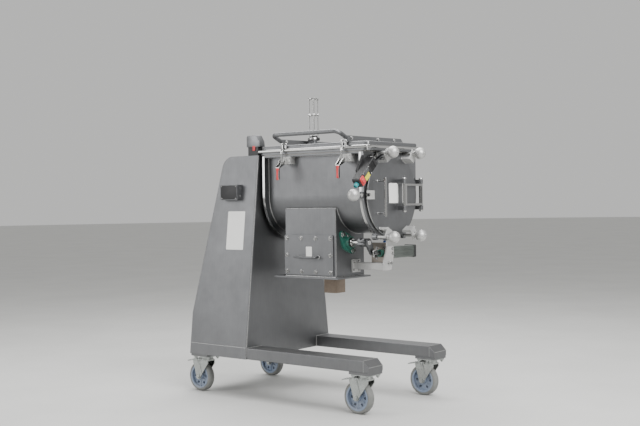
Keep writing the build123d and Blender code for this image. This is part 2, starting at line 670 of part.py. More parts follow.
# Front end plate with the door opening, bolt bosses, swing bolt ears and the fixed hinge knuckles
with BuildPart() as front_flange:
    with BuildSketch(axis_plane(SHELL_END_X)):
        u_profile(END_PLATE_RADIUS)
        Circle(DOOR_OPENING_RADIUS, mode=Mode.SUBTRACT)
    extrude(amount=END_PLATE_THICKNESS)
    for angle in CLAMP_ANGLES:
        with BuildSketch(clamp_plane(angle, CLAMP_RADIUS)):
            Circle(CLAMP_BOSS_RADIUS)
            with Locations((0, -CLAMP_BOSS_RADIUS)):
                Rectangle(2 * CLAMP_BOSS_RADIUS, 2 * CLAMP_BOSS_RADIUS)
        extrude(amount=-2 * END_PLATE_THICKNESS)
    with BuildSketch(axis_plane(SHELL_START_X)):
        Circle(2 * END_PLATE_RADIUS)
        with Locations((0, RIM_Z - AXIS_Z)):
            Rectangle(
                8 * END_PLATE_RADIUS,
                8 * END_PLATE_RADIUS,
                align=(Align.CENTER, Align.MAX),
                mode=Mode.SUBTRACT,
            )
    extrude(amount=TROUGH_LENGTH + END_PLATE_THICKNESS, mode=Mode.SUBTRACT)
    with BuildSketch(axis_plane(SHELL_START_X)):
        u_profile(SHELL_RADIUS)
    extrude(amount=TROUGH_LENGTH, mode=Mode.SUBTRACT)
    for side in (-1, 1):
        level = AXIS_Z + side * (LINK_HEIGHT / 2 + KNUCKLE_HEIGHT / 2 + 1)
        with BuildSketch(Plane.XY.offset(level)):
            with BuildLine():
                Polyline(
                    (SHELL_END_X, END_PLATE_RADIUS - 2),
                    (FLANGE_FACE_X, END_PLATE_RADIUS - 2),
                    (LINK_FRAME_PIN_X, LINK_FRAME_PIN_Y - KNUCKLE_RADIUS + 1),
                    (LINK_FRAME_PIN_X, LINK_FRAME_PIN_Y + KNUCKLE_RADIUS - 1),
                    (SHELL_END_X, LINK_FRAME_PIN_Y + KNUCKLE_RADIUS - 1),
                    close=True,
                )
            make_face()
            with Locations((LINK_FRAME_PIN_X, LINK_FRAME_PIN_Y)):
                Circle(KNUCKLE_RADIUS - 2)
        extrude(amount=KNUCKLE_HEIGHT / 2, both=True)
    with BuildSketch(Plane.XY.offset(AXIS_Z)):
        with Locations((LINK_FRAME_PIN_X, LINK_FRAME_PIN_Y)):
            Circle(LINK_PIN_RADIUS)
    extrude(amount=LINK_HEIGHT / 2 + KNUCKLE_HEIGHT + 6, both=True)
    for side in (-1, 1):
        level = AXIS_Z + side * (SWING_EYE_WIDTH / 2 + SEAT_GAP + 3)
        with BuildSketch(Plane.XY.offset(level)):
            with Locations((SHELL_END_X + END_PLATE_THICKNESS / 2, SWING_PIVOT_Y)):
                Circle(SWING_EYE_RADIUS)
                Rectangle(END_PLATE_THICKNESS, -SWING_PIVOT_Y - END_PLATE_RADIUS + 4, align=(Align.CENTER, Align.MIN))
        extrude(amount=3, both=True)
    with BuildSketch(Plane.XY.offset(AXIS_Z)):
        with Locations((SHELL_END_X + END_PLATE_THICKNESS / 2, SWING_PIVOT_Y)):
            Circle(LINK_PIN_RADIUS)
    extrude(amount=SWING_EYE_WIDTH / 2 + 10, both=True)
save(front_flange, "front_flange")

# Gaskets: a rectangular one under the lid and a round one behind the door
with BuildPart() as gaskets:
    gasket_x = (TROUGH_REAR_X + FLANGE_FACE_X) / 2
    with BuildSketch(Plane.XY.offset(RIM_Z)):
        with Locations((gasket_x, 0)):
            gasket_length = FLANGE_FACE_X - TROUGH_REAR_X - 2
            RectangleRounded(gasket_length, 2 * END_PLATE_RADIUS - 8, GASKET_WIDTH)
            RectangleRounded(
                gasket_length - 2 * END_PLATE_THICKNESS + 2,
                2 * (END_PLATE_RADIUS - 4 - GASKET_WIDTH),
                GASKET_WIDTH / 2,
                mode=Mode.SUBTRACT,
            )
    extrude(amount=LID_GASKET_THICKNESS - SEAT_GAP)
    with BuildSketch(axis_plane(FLANGE_FACE_X)):
        Circle(DOOR_OPENING_RADIUS + GASKET_WIDTH + 3)
        Circle(DOOR_OPENING_RADIUS + 3, mode=Mode.SUBTRACT)
    extrude(amount=DOOR_GASKET_THICKNESS - SEAT_GAP)
save(gaskets, "gaskets")

# Bearing and seal housing between the column and the trough, with a long bore
with BuildPart() as shaft_bearing:
    with BuildSketch(axis_plane(COLUMN_FRONT_X)):
        Circle(NECK_RADIUS)
    extrude(amount=TROUGH_GAP)
    with BuildSketch(axis_plane(COLUMN_FRONT_X)):
        Circle(NECK_HOLE_RADIUS - 1)
    extrude(amount=-GEARBOX_SETBACK)
    neck_edges = shaft_bearing.edges().filter_by(GeomType.CIRCLE).sort_by(Axis.X)[0]
    chamfer(neck_edges, 6)
    with BuildSketch(axis_plane(COLUMN_FRONT_X)):
        Circle(SHAFT_RADIUS + RUNNING_FIT)
    extrude(amount=NECK_RADIUS, both=True, mode=Mode.SUBTRACT)
save(shaft_bearing, "shaft_bearing")

# Gearbox on the bearing housing with the motor hanging under it
GEARBOX_FACE_X = COLUMN_FRONT_X - GEARBOX_SETBACK
with BuildPart() as gearmotor:
    with BuildSketch(axis_plane(GEARBOX_FACE_X)):
        RectangleRounded(GEARBOX_WIDTH, GEARBOX_HEIGHT, 24)
    extrude(amount=-GEARBOX_DEPTH)
    with BuildSketch(Plane.XY.offset(AXIS_Z - GEARBOX_HEIGHT / 2)):
        with Locations((GEARBOX_FACE_X - GEARBOX_DEPTH / 2 - COLUMN_EDGE_RADIUS, 0)):
            Circle(GEARBOX_DEPTH / 2 + COLUMN_EDGE_RADIUS)
    extrude(amount=-24)
    with BuildSketch(Plane.XY.offset(AXIS_Z - GEARBOX_HEIGHT / 2 - 24)):
        with Locations((GEARBOX_FACE_X - MOTOR_RADIUS - COLUMN_EDGE_RADIUS, 0)):
            Circle(MOTOR_RADIUS)
            with PolarLocations(MOTOR_RADIUS, 12):
                Rectangle(10, 3)
    extrude(amount=-MOTOR_LENGTH)
    with BuildSketch(axis_plane(GEARBOX_FACE_X)):
        Circle(SHAFT_RADIUS + RUNNING_FIT)
    extrude(amount=-GEARBOX_DEPTH, mode=Mode.SUBTRACT)
save(gearmotor, "gearmotor")

# Agitator: spokes carry an outer pair of ribbons one way and an inner pair the other way.
# Stations a quarter pitch apart are where both pairs cross the same spoke.
SHAFT_END_X = FLANGE_FACE_X - SHAFT_FRONT_GAP
SHAFT_REAR_X = GEARBOX_FACE_X - GEARBOX_DEPTH + SHAFT_RADIUS
RIBBON_LENGTH = SPOKE_PITCH * (SPOKE_STATIONS - 1)
RIBBON_START_X = (SHELL_START_X + SHAFT_END_X - RIBBON_LENGTH) / 2


def add_spokes(mode=Mode.ADD, start_radius=0):
    """Round spokes right through the shaft at every station, each a quarter turn further on."""
    for station in range(SPOKE_STATIONS):
        x = RIBBON_START_X + station * SPOKE_PITCH
        angle = radians(90 * station)
        across = Plane(origin=(x, 0, AXIS_Z), x_dir=(1, 0, 0), z_dir=(0, cos(angle), sin(angle)))
        with BuildSketch(across) as section:
            Circle(SPOKE_RADIUS)
        extrude(section.sketch, amount=RIBBON_RADIUS - SPOKE_RADIUS, both=True, mode=mode)


def ribbon(inner, outer, start_angle, hand):
    """One helical ribbon: a flat bar swept along a helix round the shaft."""
    with BuildPart() as band:
        with BuildLine():
            helix = Helix(
                pitch=RIBBON_PITCH,
                height=RIBBON_LENGTH,
                radius=(inner + outer) / 2,
                center=(0, 0, 0),
                direction=(0, 0, 1),
                lefthand=hand < 0,
            )
        start = Plane(origin=helix @ 0, x_dir=(1, 0, 0), z_dir=helix % 0)
        with BuildSketch(start):
            Rectangle(outer - inner, RIBBON_THICKNESS)
        sweep(path=helix, is_frenet=True)
    placed = Rotation(0, 0, start_angle) * band.part
    return Plane(origin=(RIBBON_START_X, 0, AXIS_Z), x_dir=(0, 1, 0), z_dir=(1, 0, 0)) * placed


with BuildPart() as ribbon_spokes:
    add_spokes()
    with BuildSketch(axis_plane(SHAFT_REAR_X)):
        Circle(SHAFT_RADIUS)
    extrude(amount=SHAFT_END_X - SHAFT_REAR_X, mode=Mode.SUBTRACT)
save(ribbon_spokes, "ribbon_spokes")

with BuildPart() as agitator_shaft:
    with BuildSketch(axis_plane(SHAFT_REAR_X)):
        Circle(SHAFT_RADIUS)
    extrude(amount=SHAFT_END_X - SHAFT_REAR_X)
    shaft_ends = agitator_shaft.edges().filter_by(GeomType.CIRCLE)
    chamfer(shaft_ends, 2)
save(agitator_shaft, "agitator_shaft")

with BuildPart() as outer_ribbon:
    for start_angle in (0, 180):
        add(ribbon(RIBBON_RADIUS - OUTER_RIBBON_WIDTH, RIBBON_RADIUS, start_angle, 1))
    add_spokes(mode=Mode.SUBTRACT)
save(outer_ribbon, "outer_ribbon")

with BuildPart() as inner_ribbon:
    for start_angle in (0, 180):
        add(ribbon(INNER_RIBBON_RADIUS - INNER_RIBBON_WIDTH, INNER_RIBBON_RADIUS, start_angle, -1))
    add_spokes(mode=Mode.SUBTRACT)
save(inner_ribbon, "inner_ribbon")

# Lid: a hollow pan on a skirt with a rolled bead around its rim
LID_LENGTH = LID_END_X - LID_START_X
LID_X = (LID_START_X + LID_END_X) / 2
VENT_X = COLUMN_FRONT_X + VENT_OFFSET
PAN_LENGTH = LID_LENGTH - 2 * LID_PAN_INSET
PAN_WIDTH = 2 * (LID_HALF_WIDTH - LID_PAN_INSET)
BEAD_Z = LID_BOTTOM_Z + LID_SKIRT_HEIGHT + LID_BEAD_RADIUS - 1
with BuildPart() as lid_panel:
    with BuildSketch(Plane.XY.offset(LID_BOTTOM_Z)):
        with Locations((LID_X, 0)):
            RectangleRounded(LID_LENGTH, 2 * LID_HALF_WIDTH, LID_CORNER_RADIUS)
    extrude(amount=LID_SKIRT_HEIGHT)
    with BuildSketch(Plane.XY.offset(LID_BOTTOM_Z)):
        with Locations((LID_X, 0)):
            RectangleRounded(PAN_LENGTH, PAN_WIDTH, LID_CORNER_RADIUS - LID_PAN_INSET)
    extrude(amount=LID_HEIGHT)
    top_edges = lid_panel.faces().sort_by(Axis.Z)[-1].edges()
    fillet(top_edges, LID_PAN_INSET)
    with BuildSketch(Plane.XY.offset(BEAD_Z), mode=Mode.PRIVATE) as bead_course:
        with Locations((LID_X, 0)):
            RectangleRounded(
                LID_LENGTH - 2 * LID_BEAD_RADIUS,
                2 * (LID_HALF_WIDTH - LID_BEAD_RADIUS),
                LID_CORNER_RADIUS - LID_BEAD_RADIUS,
            )
    bead_path = bead_course.sketch.face().outer_wire()
    with BuildSketch(Plane(origin=bead_path @ 0, x_dir=(0, 0, 1), z_dir=bead_path % 0)):
        Circle(LID_BEAD_RADIUS)
    sweep(path=bead_path)
    with BuildSketch(Plane.XY.offset(LID_BOTTOM_Z)):
        with Locations((LID_X, 0)):
            RectangleRounded(
                PAN_LENGTH - 4 * LID_WALL,
                PAN_WIDTH - 4 * LID_WALL,
                LID_CORNER_RADIUS - LID_PAN_INSET - LID_WALL,
            )
    extrude(amount=LID_HEIGHT - LID_WALL, mode=Mode.SUBTRACT)
    with BuildSketch(Plane.XY.offset(LID_TOP_Z)):
        with Locations((VENT_X, 0)):
            Circle(VENT_STUB_RADIUS)
    extrude(amount=VENT_STUB_HEIGHT)
    with BuildSketch(Plane.XY.offset(LID_TOP_Z + VENT_STUB_HEIGHT - 22)):
        with Locations((VENT_X, 0)):
            Circle(VENT_FERRULE_RADIUS)
    extrude(amount=22)
    ferrule_edges = lid_panel.edges().filter_by(GeomType.CIRCLE).group_by(Axis.Z)[-1]
    chamfer(ferrule_edges, 5)
    with BuildSketch(Plane.XY.offset(LID_TOP_Z - 2 * LID_WALL)):
        with Locations((VENT_X, 0)):
            Circle(VENT_STUB_RADIUS - LID_WALL)
    extrude(amount=VENT_STUB_HEIGHT + 2 * LID_WALL, mode=Mode.SUBTRACT)
save(lid_panel, "lid_panel")

# Flat arms across the lid, with hinge eyes at the far side
ARM_XS = [COLUMN_FRONT_X + offset_x for offset_x in ARM_OFFSETS]
with BuildPart() as lid_arms:
    for x in ARM_XS:
        with BuildSketch(Plane.YZ.offset(x)):
            with BuildLine():
                Polyline(
                    (ARM_NEAR_Y, LID_TOP_Z + SEAT_GAP),
                    (ARM_NEAR_Y, LID_TOP_Z + ARM_HEIGHT),
                    (HINGE_Y - HINGE_EYE_RADIUS, LID_TOP_Z + ARM_HEIGHT),
                    (HINGE_Y + HINGE_EYE_RADIUS, LID_TOP_Z),
                    (HINGE_Y + HINGE_EYE_RADIUS, HINGE_Z),
                    (HINGE_Y - HINGE_EYE_RADIUS, HINGE_Z),
                    (LID_HALF_WIDTH + 3, LID_TOP_Z - ARM_HEIGHT / 3),
                    (LID_HALF_WIDTH + 3, LID_TOP_Z + SEAT_GAP),
                    close=True,
                )
            make_face()
            with Locations((HINGE_Y, HINGE_Z)):
                Circle(HINGE_EYE_RADIUS)
                Circle(HINGE_PIN_RADIUS + RUNNING_FIT, mode=Mode.SUBTRACT)
        extrude(amount=ARM_THICKNESS / 2, both=True)
save(lid_arms, "lid_arms")

# Tubular handle in front of the lid, welded to the near ends of the arms
with BuildPart() as lid_handle:
    left_x, right_x = ARM_XS
    foot_z = LID_TOP_Z + ARM_HEIGHT - HANDLE_TUBE_RADIUS
    with BuildLine() as handle_line:
        FilletPolyline(
            (left_x, ARM_NEAR_Y, foot_z),
            (left_x, HANDLE_Y, HANDLE_Z),
            (right_x, HANDLE_Y, HANDLE_Z),
            (right_x, ARM_NEAR_Y, foot_z),
            radius=HANDLE_BEND_RADIUS,
        )
    handle_wire = handle_line.wires()[0]
    with BuildSketch(Plane(origin=handle_wire @ 0, x_dir=(1, 0, 0), z_dir=handle_wire % 0)):
        Circle(HANDLE_TUBE_RADIUS)
    sweep(path=handle_wire)
    with BuildSketch(Plane.XZ.offset(-ARM_NEAR_Y)):
        Rectangle(4 * COLUMN_BOTTOM_DEPTH, 4 * AXIS_Z)
    extrude(amount=-SHELL_RADIUS, mode=Mode.SUBTRACT)
save(lid_handle, "lid_handle")

# Vent cage: four wires between two eared rings on the ferrule
with BuildPart() as vent_cage:
    ferrule_top = LID_TOP_Z + VENT_STUB_HEIGHT
    with BuildSketch(Plane.XY.offset(ferrule_top)):
        with Locations((VENT_X, 0)):
            Circle(CAGE_CIRCLE_RADIUS + 2)
            Circle(CAGE_CIRCLE_RADIUS - 8, mode=Mode.SUBTRACT)
    extrude(amount=CAGE_RING_THICKNESS)
    for level in (CAGE_MID_Z, CAGE_TOP_Z - CAGE_RING_THICKNESS):
        with BuildSketch(Plane.XY.offset(level)):
            with Locations((VENT_X, 0)):
                Circle(CAGE_CIRCLE_RADIUS + 5)
                SlotOverall(2 * CAGE_CIRCLE_RADIUS + 20, 4 * CAGE_WIRE_RADIUS)
                Circle(CAGE_CIRCLE_RADIUS - 5, mode=Mode.SUBTRACT)
        extrude(amount=CAGE_RING_THICKNESS)
    with BuildSketch(Plane.XY.offset(ferrule_top)):
        with Locations((VENT_X, 0)):
            with PolarLocations(CAGE_CIRCLE_RADIUS, 4, start_angle=45):
                Circle(CAGE_WIRE_RADIUS)
    extrude(amount=CAGE_TOP_Z - ferrule_top)
save(vent_cage, "vent_cage")

# Hinge brackets of the lid on the far rim, each with its own pin
with BuildPart() as lid_hinge_brackets:
    for x in ARM_XS:
        for side in (-1, 1):
            ear_x = x + side * (ARM_THICKNESS / 2 + SEAT_GAP + HINGE_EAR_THICKNESS / 2)
            with BuildSketch(Plane.YZ.offset(ear_x)):
                with BuildLine():
                    Polyline(
                        (SHELL_RADIUS + RIM_LIP_WIDTH, RIM_Z - 3 * RIM_LIP_THICKNESS),
                        (SHELL_RADIUS + RIM_LIP_WIDTH, RIM_Z - 1),
                        (HINGE_Y - HINGE_EYE_RADIUS + 1, HINGE_Z),
                        (HINGE_Y + HINGE_EYE_RADIUS - 1, HINGE_Z),
                        close=True,
                    )
                make_face()
                with Locations((HINGE_Y, HINGE_Z)):
                    Circle(HINGE_EYE_RADIUS - 1)
            extrude(amount=HINGE_EAR_THICKNESS / 2, both=True)
        with BuildSketch(Plane.YZ.offset(x)):
            with Locations((HINGE_Y, HINGE_Z)):
                Circle(HINGE_PIN_RADIUS)
        extrude(amount=ARM_THICKNESS / 2 + HINGE_EAR_THICKNESS + 5, both=True)
save(lid_hinge_brackets, "lid_hinge_brackets")

# Toggle latches
LATCH_XS = [COLUMN_FRONT_X + offset_x for offset_x in LATCH_OFFSETS]
CHEEK_X = LATCH_CHEEK_GAP / 2 + LATCH_CHEEK_THICKNESS / 2
HOOK_PIVOT_Z = LATCH_PIVOT_Z - LATCH_HOOK_DROP
with BuildPart() as latch_bases:
    for x in LATCH_XS:
        block_length = LATCH_BLOCK_LEFT + LATCH_BLOCK_RIGHT
        block_height = RIM_Z - RIM_LIP_THICKNESS - LATCH_BLOCK_BOTTOM_Z
        block_x = x + (LATCH_BLOCK_RIGHT - LATCH_BLOCK_LEFT) / 2
        with BuildSketch(Plane.XZ.offset(SHELL_RADIUS)):
            with Locations((block_x, LATCH_BLOCK_BOTTOM_Z + block_height / 2)):
                Rectangle(block_length, block_height)
                Rectangle(block_length - 10, block_height - 10, mode=Mode.SUBTRACT)
        extrude(amount=-LATCH_PLATE_Y - SHELL_RADIUS)
        with BuildSketch(Plane.XZ.offset(-LATCH_PLATE_Y - 4)):
            with Locations((block_x, LATCH_BLOCK_BOTTOM_Z + block_height / 2)):
                Rectangle(block_length, block_height)
        extrude(amount=4)
        for side in (-1, 1):
            with BuildSketch(Plane.YZ.offset(x + side * CHEEK_X)):
                with BuildLine():
                    Polyline(
                        (LATCH_PLATE_Y, LATCH_PIVOT_Z - 14),
                        (LATCH_PLATE_Y, LATCH_PIVOT_Z + 22),
                        (LATCH_PIVOT_Y, LATCH_PIVOT_Z + 6),
                        (LATCH_PIVOT_Y, LATCH_PIVOT_Z - 6),
                        close=True,
                    )
                make_face()
                with Locations((LATCH_PIVOT_Y, LATCH_PIVOT_Z)):
                    Circle(2 * LATCH_PIN_RADIUS)
                    Circle(LATCH_PIN_RADIUS + RUNNING_FIT, mode=Mode.SUBTRACT)
            extrude(amount=LATCH_CHEEK_THICKNESS / 2, both=True)
save(latch_bases, "latch_bases")


def make_latch(label, x):
    """Lever with its side plates, pins and grip, and the hook that hangs on its lower pin."""
    plate_x = LATCH_CHEEK_GAP / 2 - SEAT_GAP - LATCH_LEVER_THICKNESS / 2
    with BuildPart() as lever:
        for side in (-1, 1):
            with BuildSketch(Plane.YZ.offset(x + side * plate_x)):
                with BuildLine():
                    Polyline(
                        (LATCH_PIVOT_Y + 5, LATCH_PIVOT_Z + 2),
                        (LATCH_PIVOT_Y - 5, LATCH_PIVOT_Z + 2),
                        (GRIP_Y - 4, GRIP_TOP_Z + 6),
                        (GRIP_Y + 4, GRIP_TOP_Z + 2),
                        (LATCH_PIVOT_Y + 5, HOOK_PIVOT_Z - 5),
                        close=True,
                    )
                make_face()
                with Locations((LATCH_PIVOT_Y, LATCH_PIVOT_Z)):
                    Circle(5)
            extrude(amount=LATCH_LEVER_THICKNESS / 2, both=True)
            with BuildSketch(Plane.YZ.offset(x + side * (plate_x - LATCH_LEVER_THICKNESS / 2))):
                with Locations((LATCH_PIVOT_Y, LATCH_PIVOT_Z)):
                    Circle(LATCH_PIN_RADIUS)
            extrude(amount=side * (LATCH_LEVER_THICKNESS + SEAT_GAP + LATCH_CHEEK_THICKNESS + 2))
        with BuildSketch(Plane.YZ.offset(x)):
            with Locations((LATCH_PIVOT_Y, HOOK_PIVOT_Z)):
                Circle(LATCH_PIN_RADIUS - 0.5)
        extrude(amount=plate_x, both=True)
        with BuildSketch(Plane.XY.offset(GRIP_TOP_Z)):
            with Locations((x, GRIP_Y)):
                RectangleRounded(2 * plate_x + LATCH_LEVER_THICKNESS, 9, 3)
        extrude(amount=4)
        with BuildSketch(Plane.XY.offset(GRIP_BOTTOM_Z)):
            with Locations((x, GRIP_Y)):
                SlotOverall(2.6 * GRIP_RADIUS, 2 * GRIP_RADIUS)
        extrude(amount=GRIP_TOP_Z - GRIP_BOTTOM_Z)
        grip_end = lever.faces().sort_by(Axis.Z)[0].edges()
        fillet(grip_end, 4)
    save(lever, f"{label}_lever")
    with BuildPart() as hook:
        with BuildLine() as hook_line:
            FilletPolyline(
                (x, LATCH_PIVOT_Y, HOOK_PIVOT_Z),
                (x, LATCH_PIVOT_Y, LATCH_HOOK_TOP_Z),
                (x, -LID_HALF_WIDTH - SWING_GAP, LATCH_HOOK_TOP_Z),
                radius=6,
            )
        hook_wire = hook_line.wires()[0]
        with BuildSketch(Plane.XY.offset(HOOK_PIVOT_Z)):
            with Locations((x, LATCH_PIVOT_Y)):
                Circle(LATCH_HOOK_RADIUS)
        sweep(path=hook_wire)
        with BuildSketch(Plane.YZ.offset(x)):
            with Locations((LATCH_PIVOT_Y, HOOK_PIVOT_Z)):
                Circle(2 * LATCH_HOOK_RADIUS)
        extrude(amount=LATCH_HOOK_RADIUS, both=True)
        with BuildSketch(Plane.YZ.offset(x)):
            with Locations((LATCH_PIVOT_Y, HOOK_PIVOT_Z)):
                Circle(LATCH_PIN_RADIUS - 0.5 + RUNNING_FIT)
        extrude(amount=2 * LATCH_HOOK_RADIUS, both=True, mode=Mode.SUBTRACT)
    save(hook, f"{label}_hook")


for side_name, latch_x in zip(("rear_latch", "front_latch"), LATCH_XS):
    make_latch(side_name, latch_x)

# Door: round plate with a turned edge and the knuckles of its hinge
LINK_HALF = LINK_HEIGHT / 2
with BuildPart() as door_plate:
    with BuildSketch(axis_plane(DOOR_BACK_X)):
        Circle(DOOR_RADIUS)
    extrude(amount=DOOR_THICKNESS)
    door_edge = door_plate.edges().filter_by(GeomType.CIRCLE).sort_by(Axis.X)[-1]
    fillet(door_edge, DOOR_THICKNESS / 2)
    for side in (-1, 1):
        level = AXIS_Z + side * (LINK_HALF + 1 + KNUCKLE_HEIGHT / 2)
        with BuildSketch(Plane.XY.offset(level)):
            with Locations((LINK_DOOR_PIN_X, LINK_DOOR_PIN_Y)):
                Circle(KNUCKLE_RADIUS)
            with Locations(((LINK_DOOR_PIN_X + DOOR_FACE_X) / 2, LINK_DOOR_PIN_Y)):
                Rectangle(LINK_DOOR_PIN_REACH, KNUCKLE_RADIUS * 1.4)
        extrude(amount=KNUCKLE_HEIGHT / 2, both=True)
        with BuildSketch(Plane.XY.offset(level)):
            with Locations((LINK_DOOR_PIN_X, LINK_DOOR_PIN_Y)):
                Circle(LINK_PIN_RADIUS + RUNNING_FIT)
        extrude(amount=KNUCKLE_HEIGHT, both=True, mode=Mode.SUBTRACT)
save(door_plate, "door_plate")

# Folded clamp plates on the door, slotted outwards for the bolts
with BuildPart() as door_clamps:
    foot = CLAMP_FOOT_RADIUS - CLAMP_RADIUS
    clamp_forks = [(angle, CLAMP_REACH, CLAMP_WIDTH) for angle in CLAMP_ANGLES]
    clamp_forks.append((180, SMALL_FORK_REACH, CLAMP_WIDTH))
    for angle, reach, width in clamp_forks:
        base = clamp_plane(angle, CLAMP_RADIUS)
        with BuildSketch(base.offset(DOOR_FACE_X - FLANGE_FACE_X)):
            with Locations((0, foot + CLAMP_PLATE / 2)):
                Rectangle(width, CLAMP_PLATE)
        extrude(amount=reach)
        with BuildSketch(base.offset(DOOR_FACE_X - FLANGE_FACE_X + reach - CLAMP_PLATE)):
            with Locations((0, foot)):
                Rectangle(width, 12 - foot, align=(Align.CENTER, Align.MIN))
            with Locations((0, 6)):
                SlotOverall(24 + 2 * CLAMP_BOLT_RADIUS, 2 * (CLAMP_BOLT_RADIUS + 1), rotation=90, mode=Mode.SUBTRACT)
        extrude(amount=CLAMP_PLATE)
        with BuildSketch(base.offset(DOOR_FACE_X - FLANGE_FACE_X)):
            for edge_side in (-1, 1):
                with Locations((edge_side * (width / 2 - CLAMP_PLATE / 2), foot + CLAMP_PLATE)):
                    Rectangle(CLAMP_PLATE, CLAMP_PLATE, align=(Align.CENTER, Align.MIN))
        extrude(amount=reach - CLAMP_PLATE)
save(door_clamps, "door_clamps")


def knob_profile(base_z, tip_z):
    """Half profile of a bolt from its tip at zero to a domed knob, turned about the local Z axis."""
    knob_start = base_z + KNOB_NECK_LENGTH
    ball_height = sqrt(KNOB_RADIUS**2 - KNOB_FLAT_RADIUS**2)
    with BuildLine() as profile:
        Polyline(
            (0, tip_z),
            (CLAMP_BOLT_RADIUS - 1.5, tip_z),
            (CLAMP_BOLT_RADIUS, tip_z + 1.5),
            (CLAMP_BOLT_RADIUS, base_z),
            (KNOB_NECK_RADIUS, base_z),
            (KNOB_NECK_RADIUS, knob_start),
            (KNOB_FLAT_RADIUS, knob_start),
        )
        ThreePointArc(
            (KNOB_FLAT_RADIUS, knob_start),
            (KNOB_RADIUS, knob_start + ball_height),
            (0, knob_start + ball_height + KNOB_RADIUS),
        )
        Line((0, knob_start + ball_height + KNOB_RADIUS), (0, tip_z))
    return profile


def make_door_screw(label, angle):
    """Clamp bolt with its domed knob, seated on its boss and on the outer face of its clamp."""
    base = clamp_plane(angle, CLAMP_RADIUS)
    seat = CLAMP_FACE_X - FLANGE_FACE_X + SEAT_GAP
    with BuildPart() as screw:
        upright = Plane(origin=base.origin, x_dir=base.x_dir, z_dir=-base.y_dir)
        with BuildSketch(upright):
            make_face(knob_profile(seat, SEAT_GAP).edges())
        revolve(axis=Axis(base.origin, base.z_dir))
    save(screw, label)


for number, angle in enumerate(CLAMP_ANGLES, start=1):
    make_door_screw(f"door_screw_{number}", angle)

# Swing bolt of the middle clamp, turned off its clamp and standing open
SWING_PIVOT_X = SHELL_END_X + END_PLATE_THICKNESS / 2
with BuildPart() as swing_bolt:
    turn = radians(SWING_BOLT_REST_ANGLE)
    along = (cos(turn), -sin(turn), 0)
    pivot = (SWING_PIVOT_X, SWING_PIVOT_Y, AXIS_Z)
    upright = Plane(origin=pivot, x_dir=(sin(turn), cos(turn), 0), z_dir=(0, 0, -1))
    with BuildSketch(upright):
        knob_base = SWING_BOLT_REACH - KNOB_NECK_LENGTH - KNOB_FLAT_RADIUS
        make_face(knob_profile(knob_base, 0).edges())
    revolve(axis=Axis(pivot, along))
    with BuildSketch(Plane.XY.offset(AXIS_Z)):
        with Locations(pivot[:2]):
            Circle(SWING_EYE_RADIUS)
    extrude(amount=SWING_EYE_WIDTH / 2, both=True)
    with BuildSketch(Plane.XY.offset(AXIS_Z)):
        with Locations(pivot[:2]):
            Circle(LINK_PIN_RADIUS + RUNNING_FIT)
    extrude(amount=SWING_EYE_WIDTH, both=True, mode=Mode.SUBTRACT)
    with BuildSketch(Plane.XY.offset(AXIS_Z + SWING_EYE_WIDTH / 2)):
        with Locations(pivot[:2]):
            Circle(1.5 * SWING_EYE_RADIUS)
    extrude(amount=SWING_EYE_WIDTH / 2, mode=Mode.SUBTRACT)
    with BuildSketch(Plane.XY.offset(AXIS_Z - SWING_EYE_WIDTH / 2)):
        with Locations(pivot[:2]):
            Circle(1.5 * SWING_EYE_RADIUS)
    extrude(amount=-SWING_EYE_WIDTH / 2, mode=Mode.SUBTRACT)
save(swing_bolt, "swing_bolt")

# Bar handle on two posts
with BuildPart() as door_handle:
    bar_x = DOOR_FACE_X + DOOR_HANDLE_REACH
    with BuildSketch(Plane.XY.offset(AXIS_Z - 10 - DOOR_HANDLE_LENGTH / 2)):
        with Locations((bar_x, DOOR_HANDLE_Y)):
            Circle(DOOR_HANDLE_RADIUS)
    extrude(amount=DOOR_HANDLE_LENGTH)
    chamfer(door_handle.edges().filter_by(GeomType.CIRCLE), 1.5)
    with BuildSketch(Plane.YZ.offset(DOOR_FACE_X)):
        for side in (-1, 1):
            with Locations((DOOR_HANDLE_Y, AXIS_Z - 10 + side * DOOR_HANDLE_POST_SPACING / 2)):
                Circle(DOOR_HANDLE_RADIUS * 0.75)
    extrude(amount=DOOR_HANDLE_REACH)
save(door_handle, "door_handle")

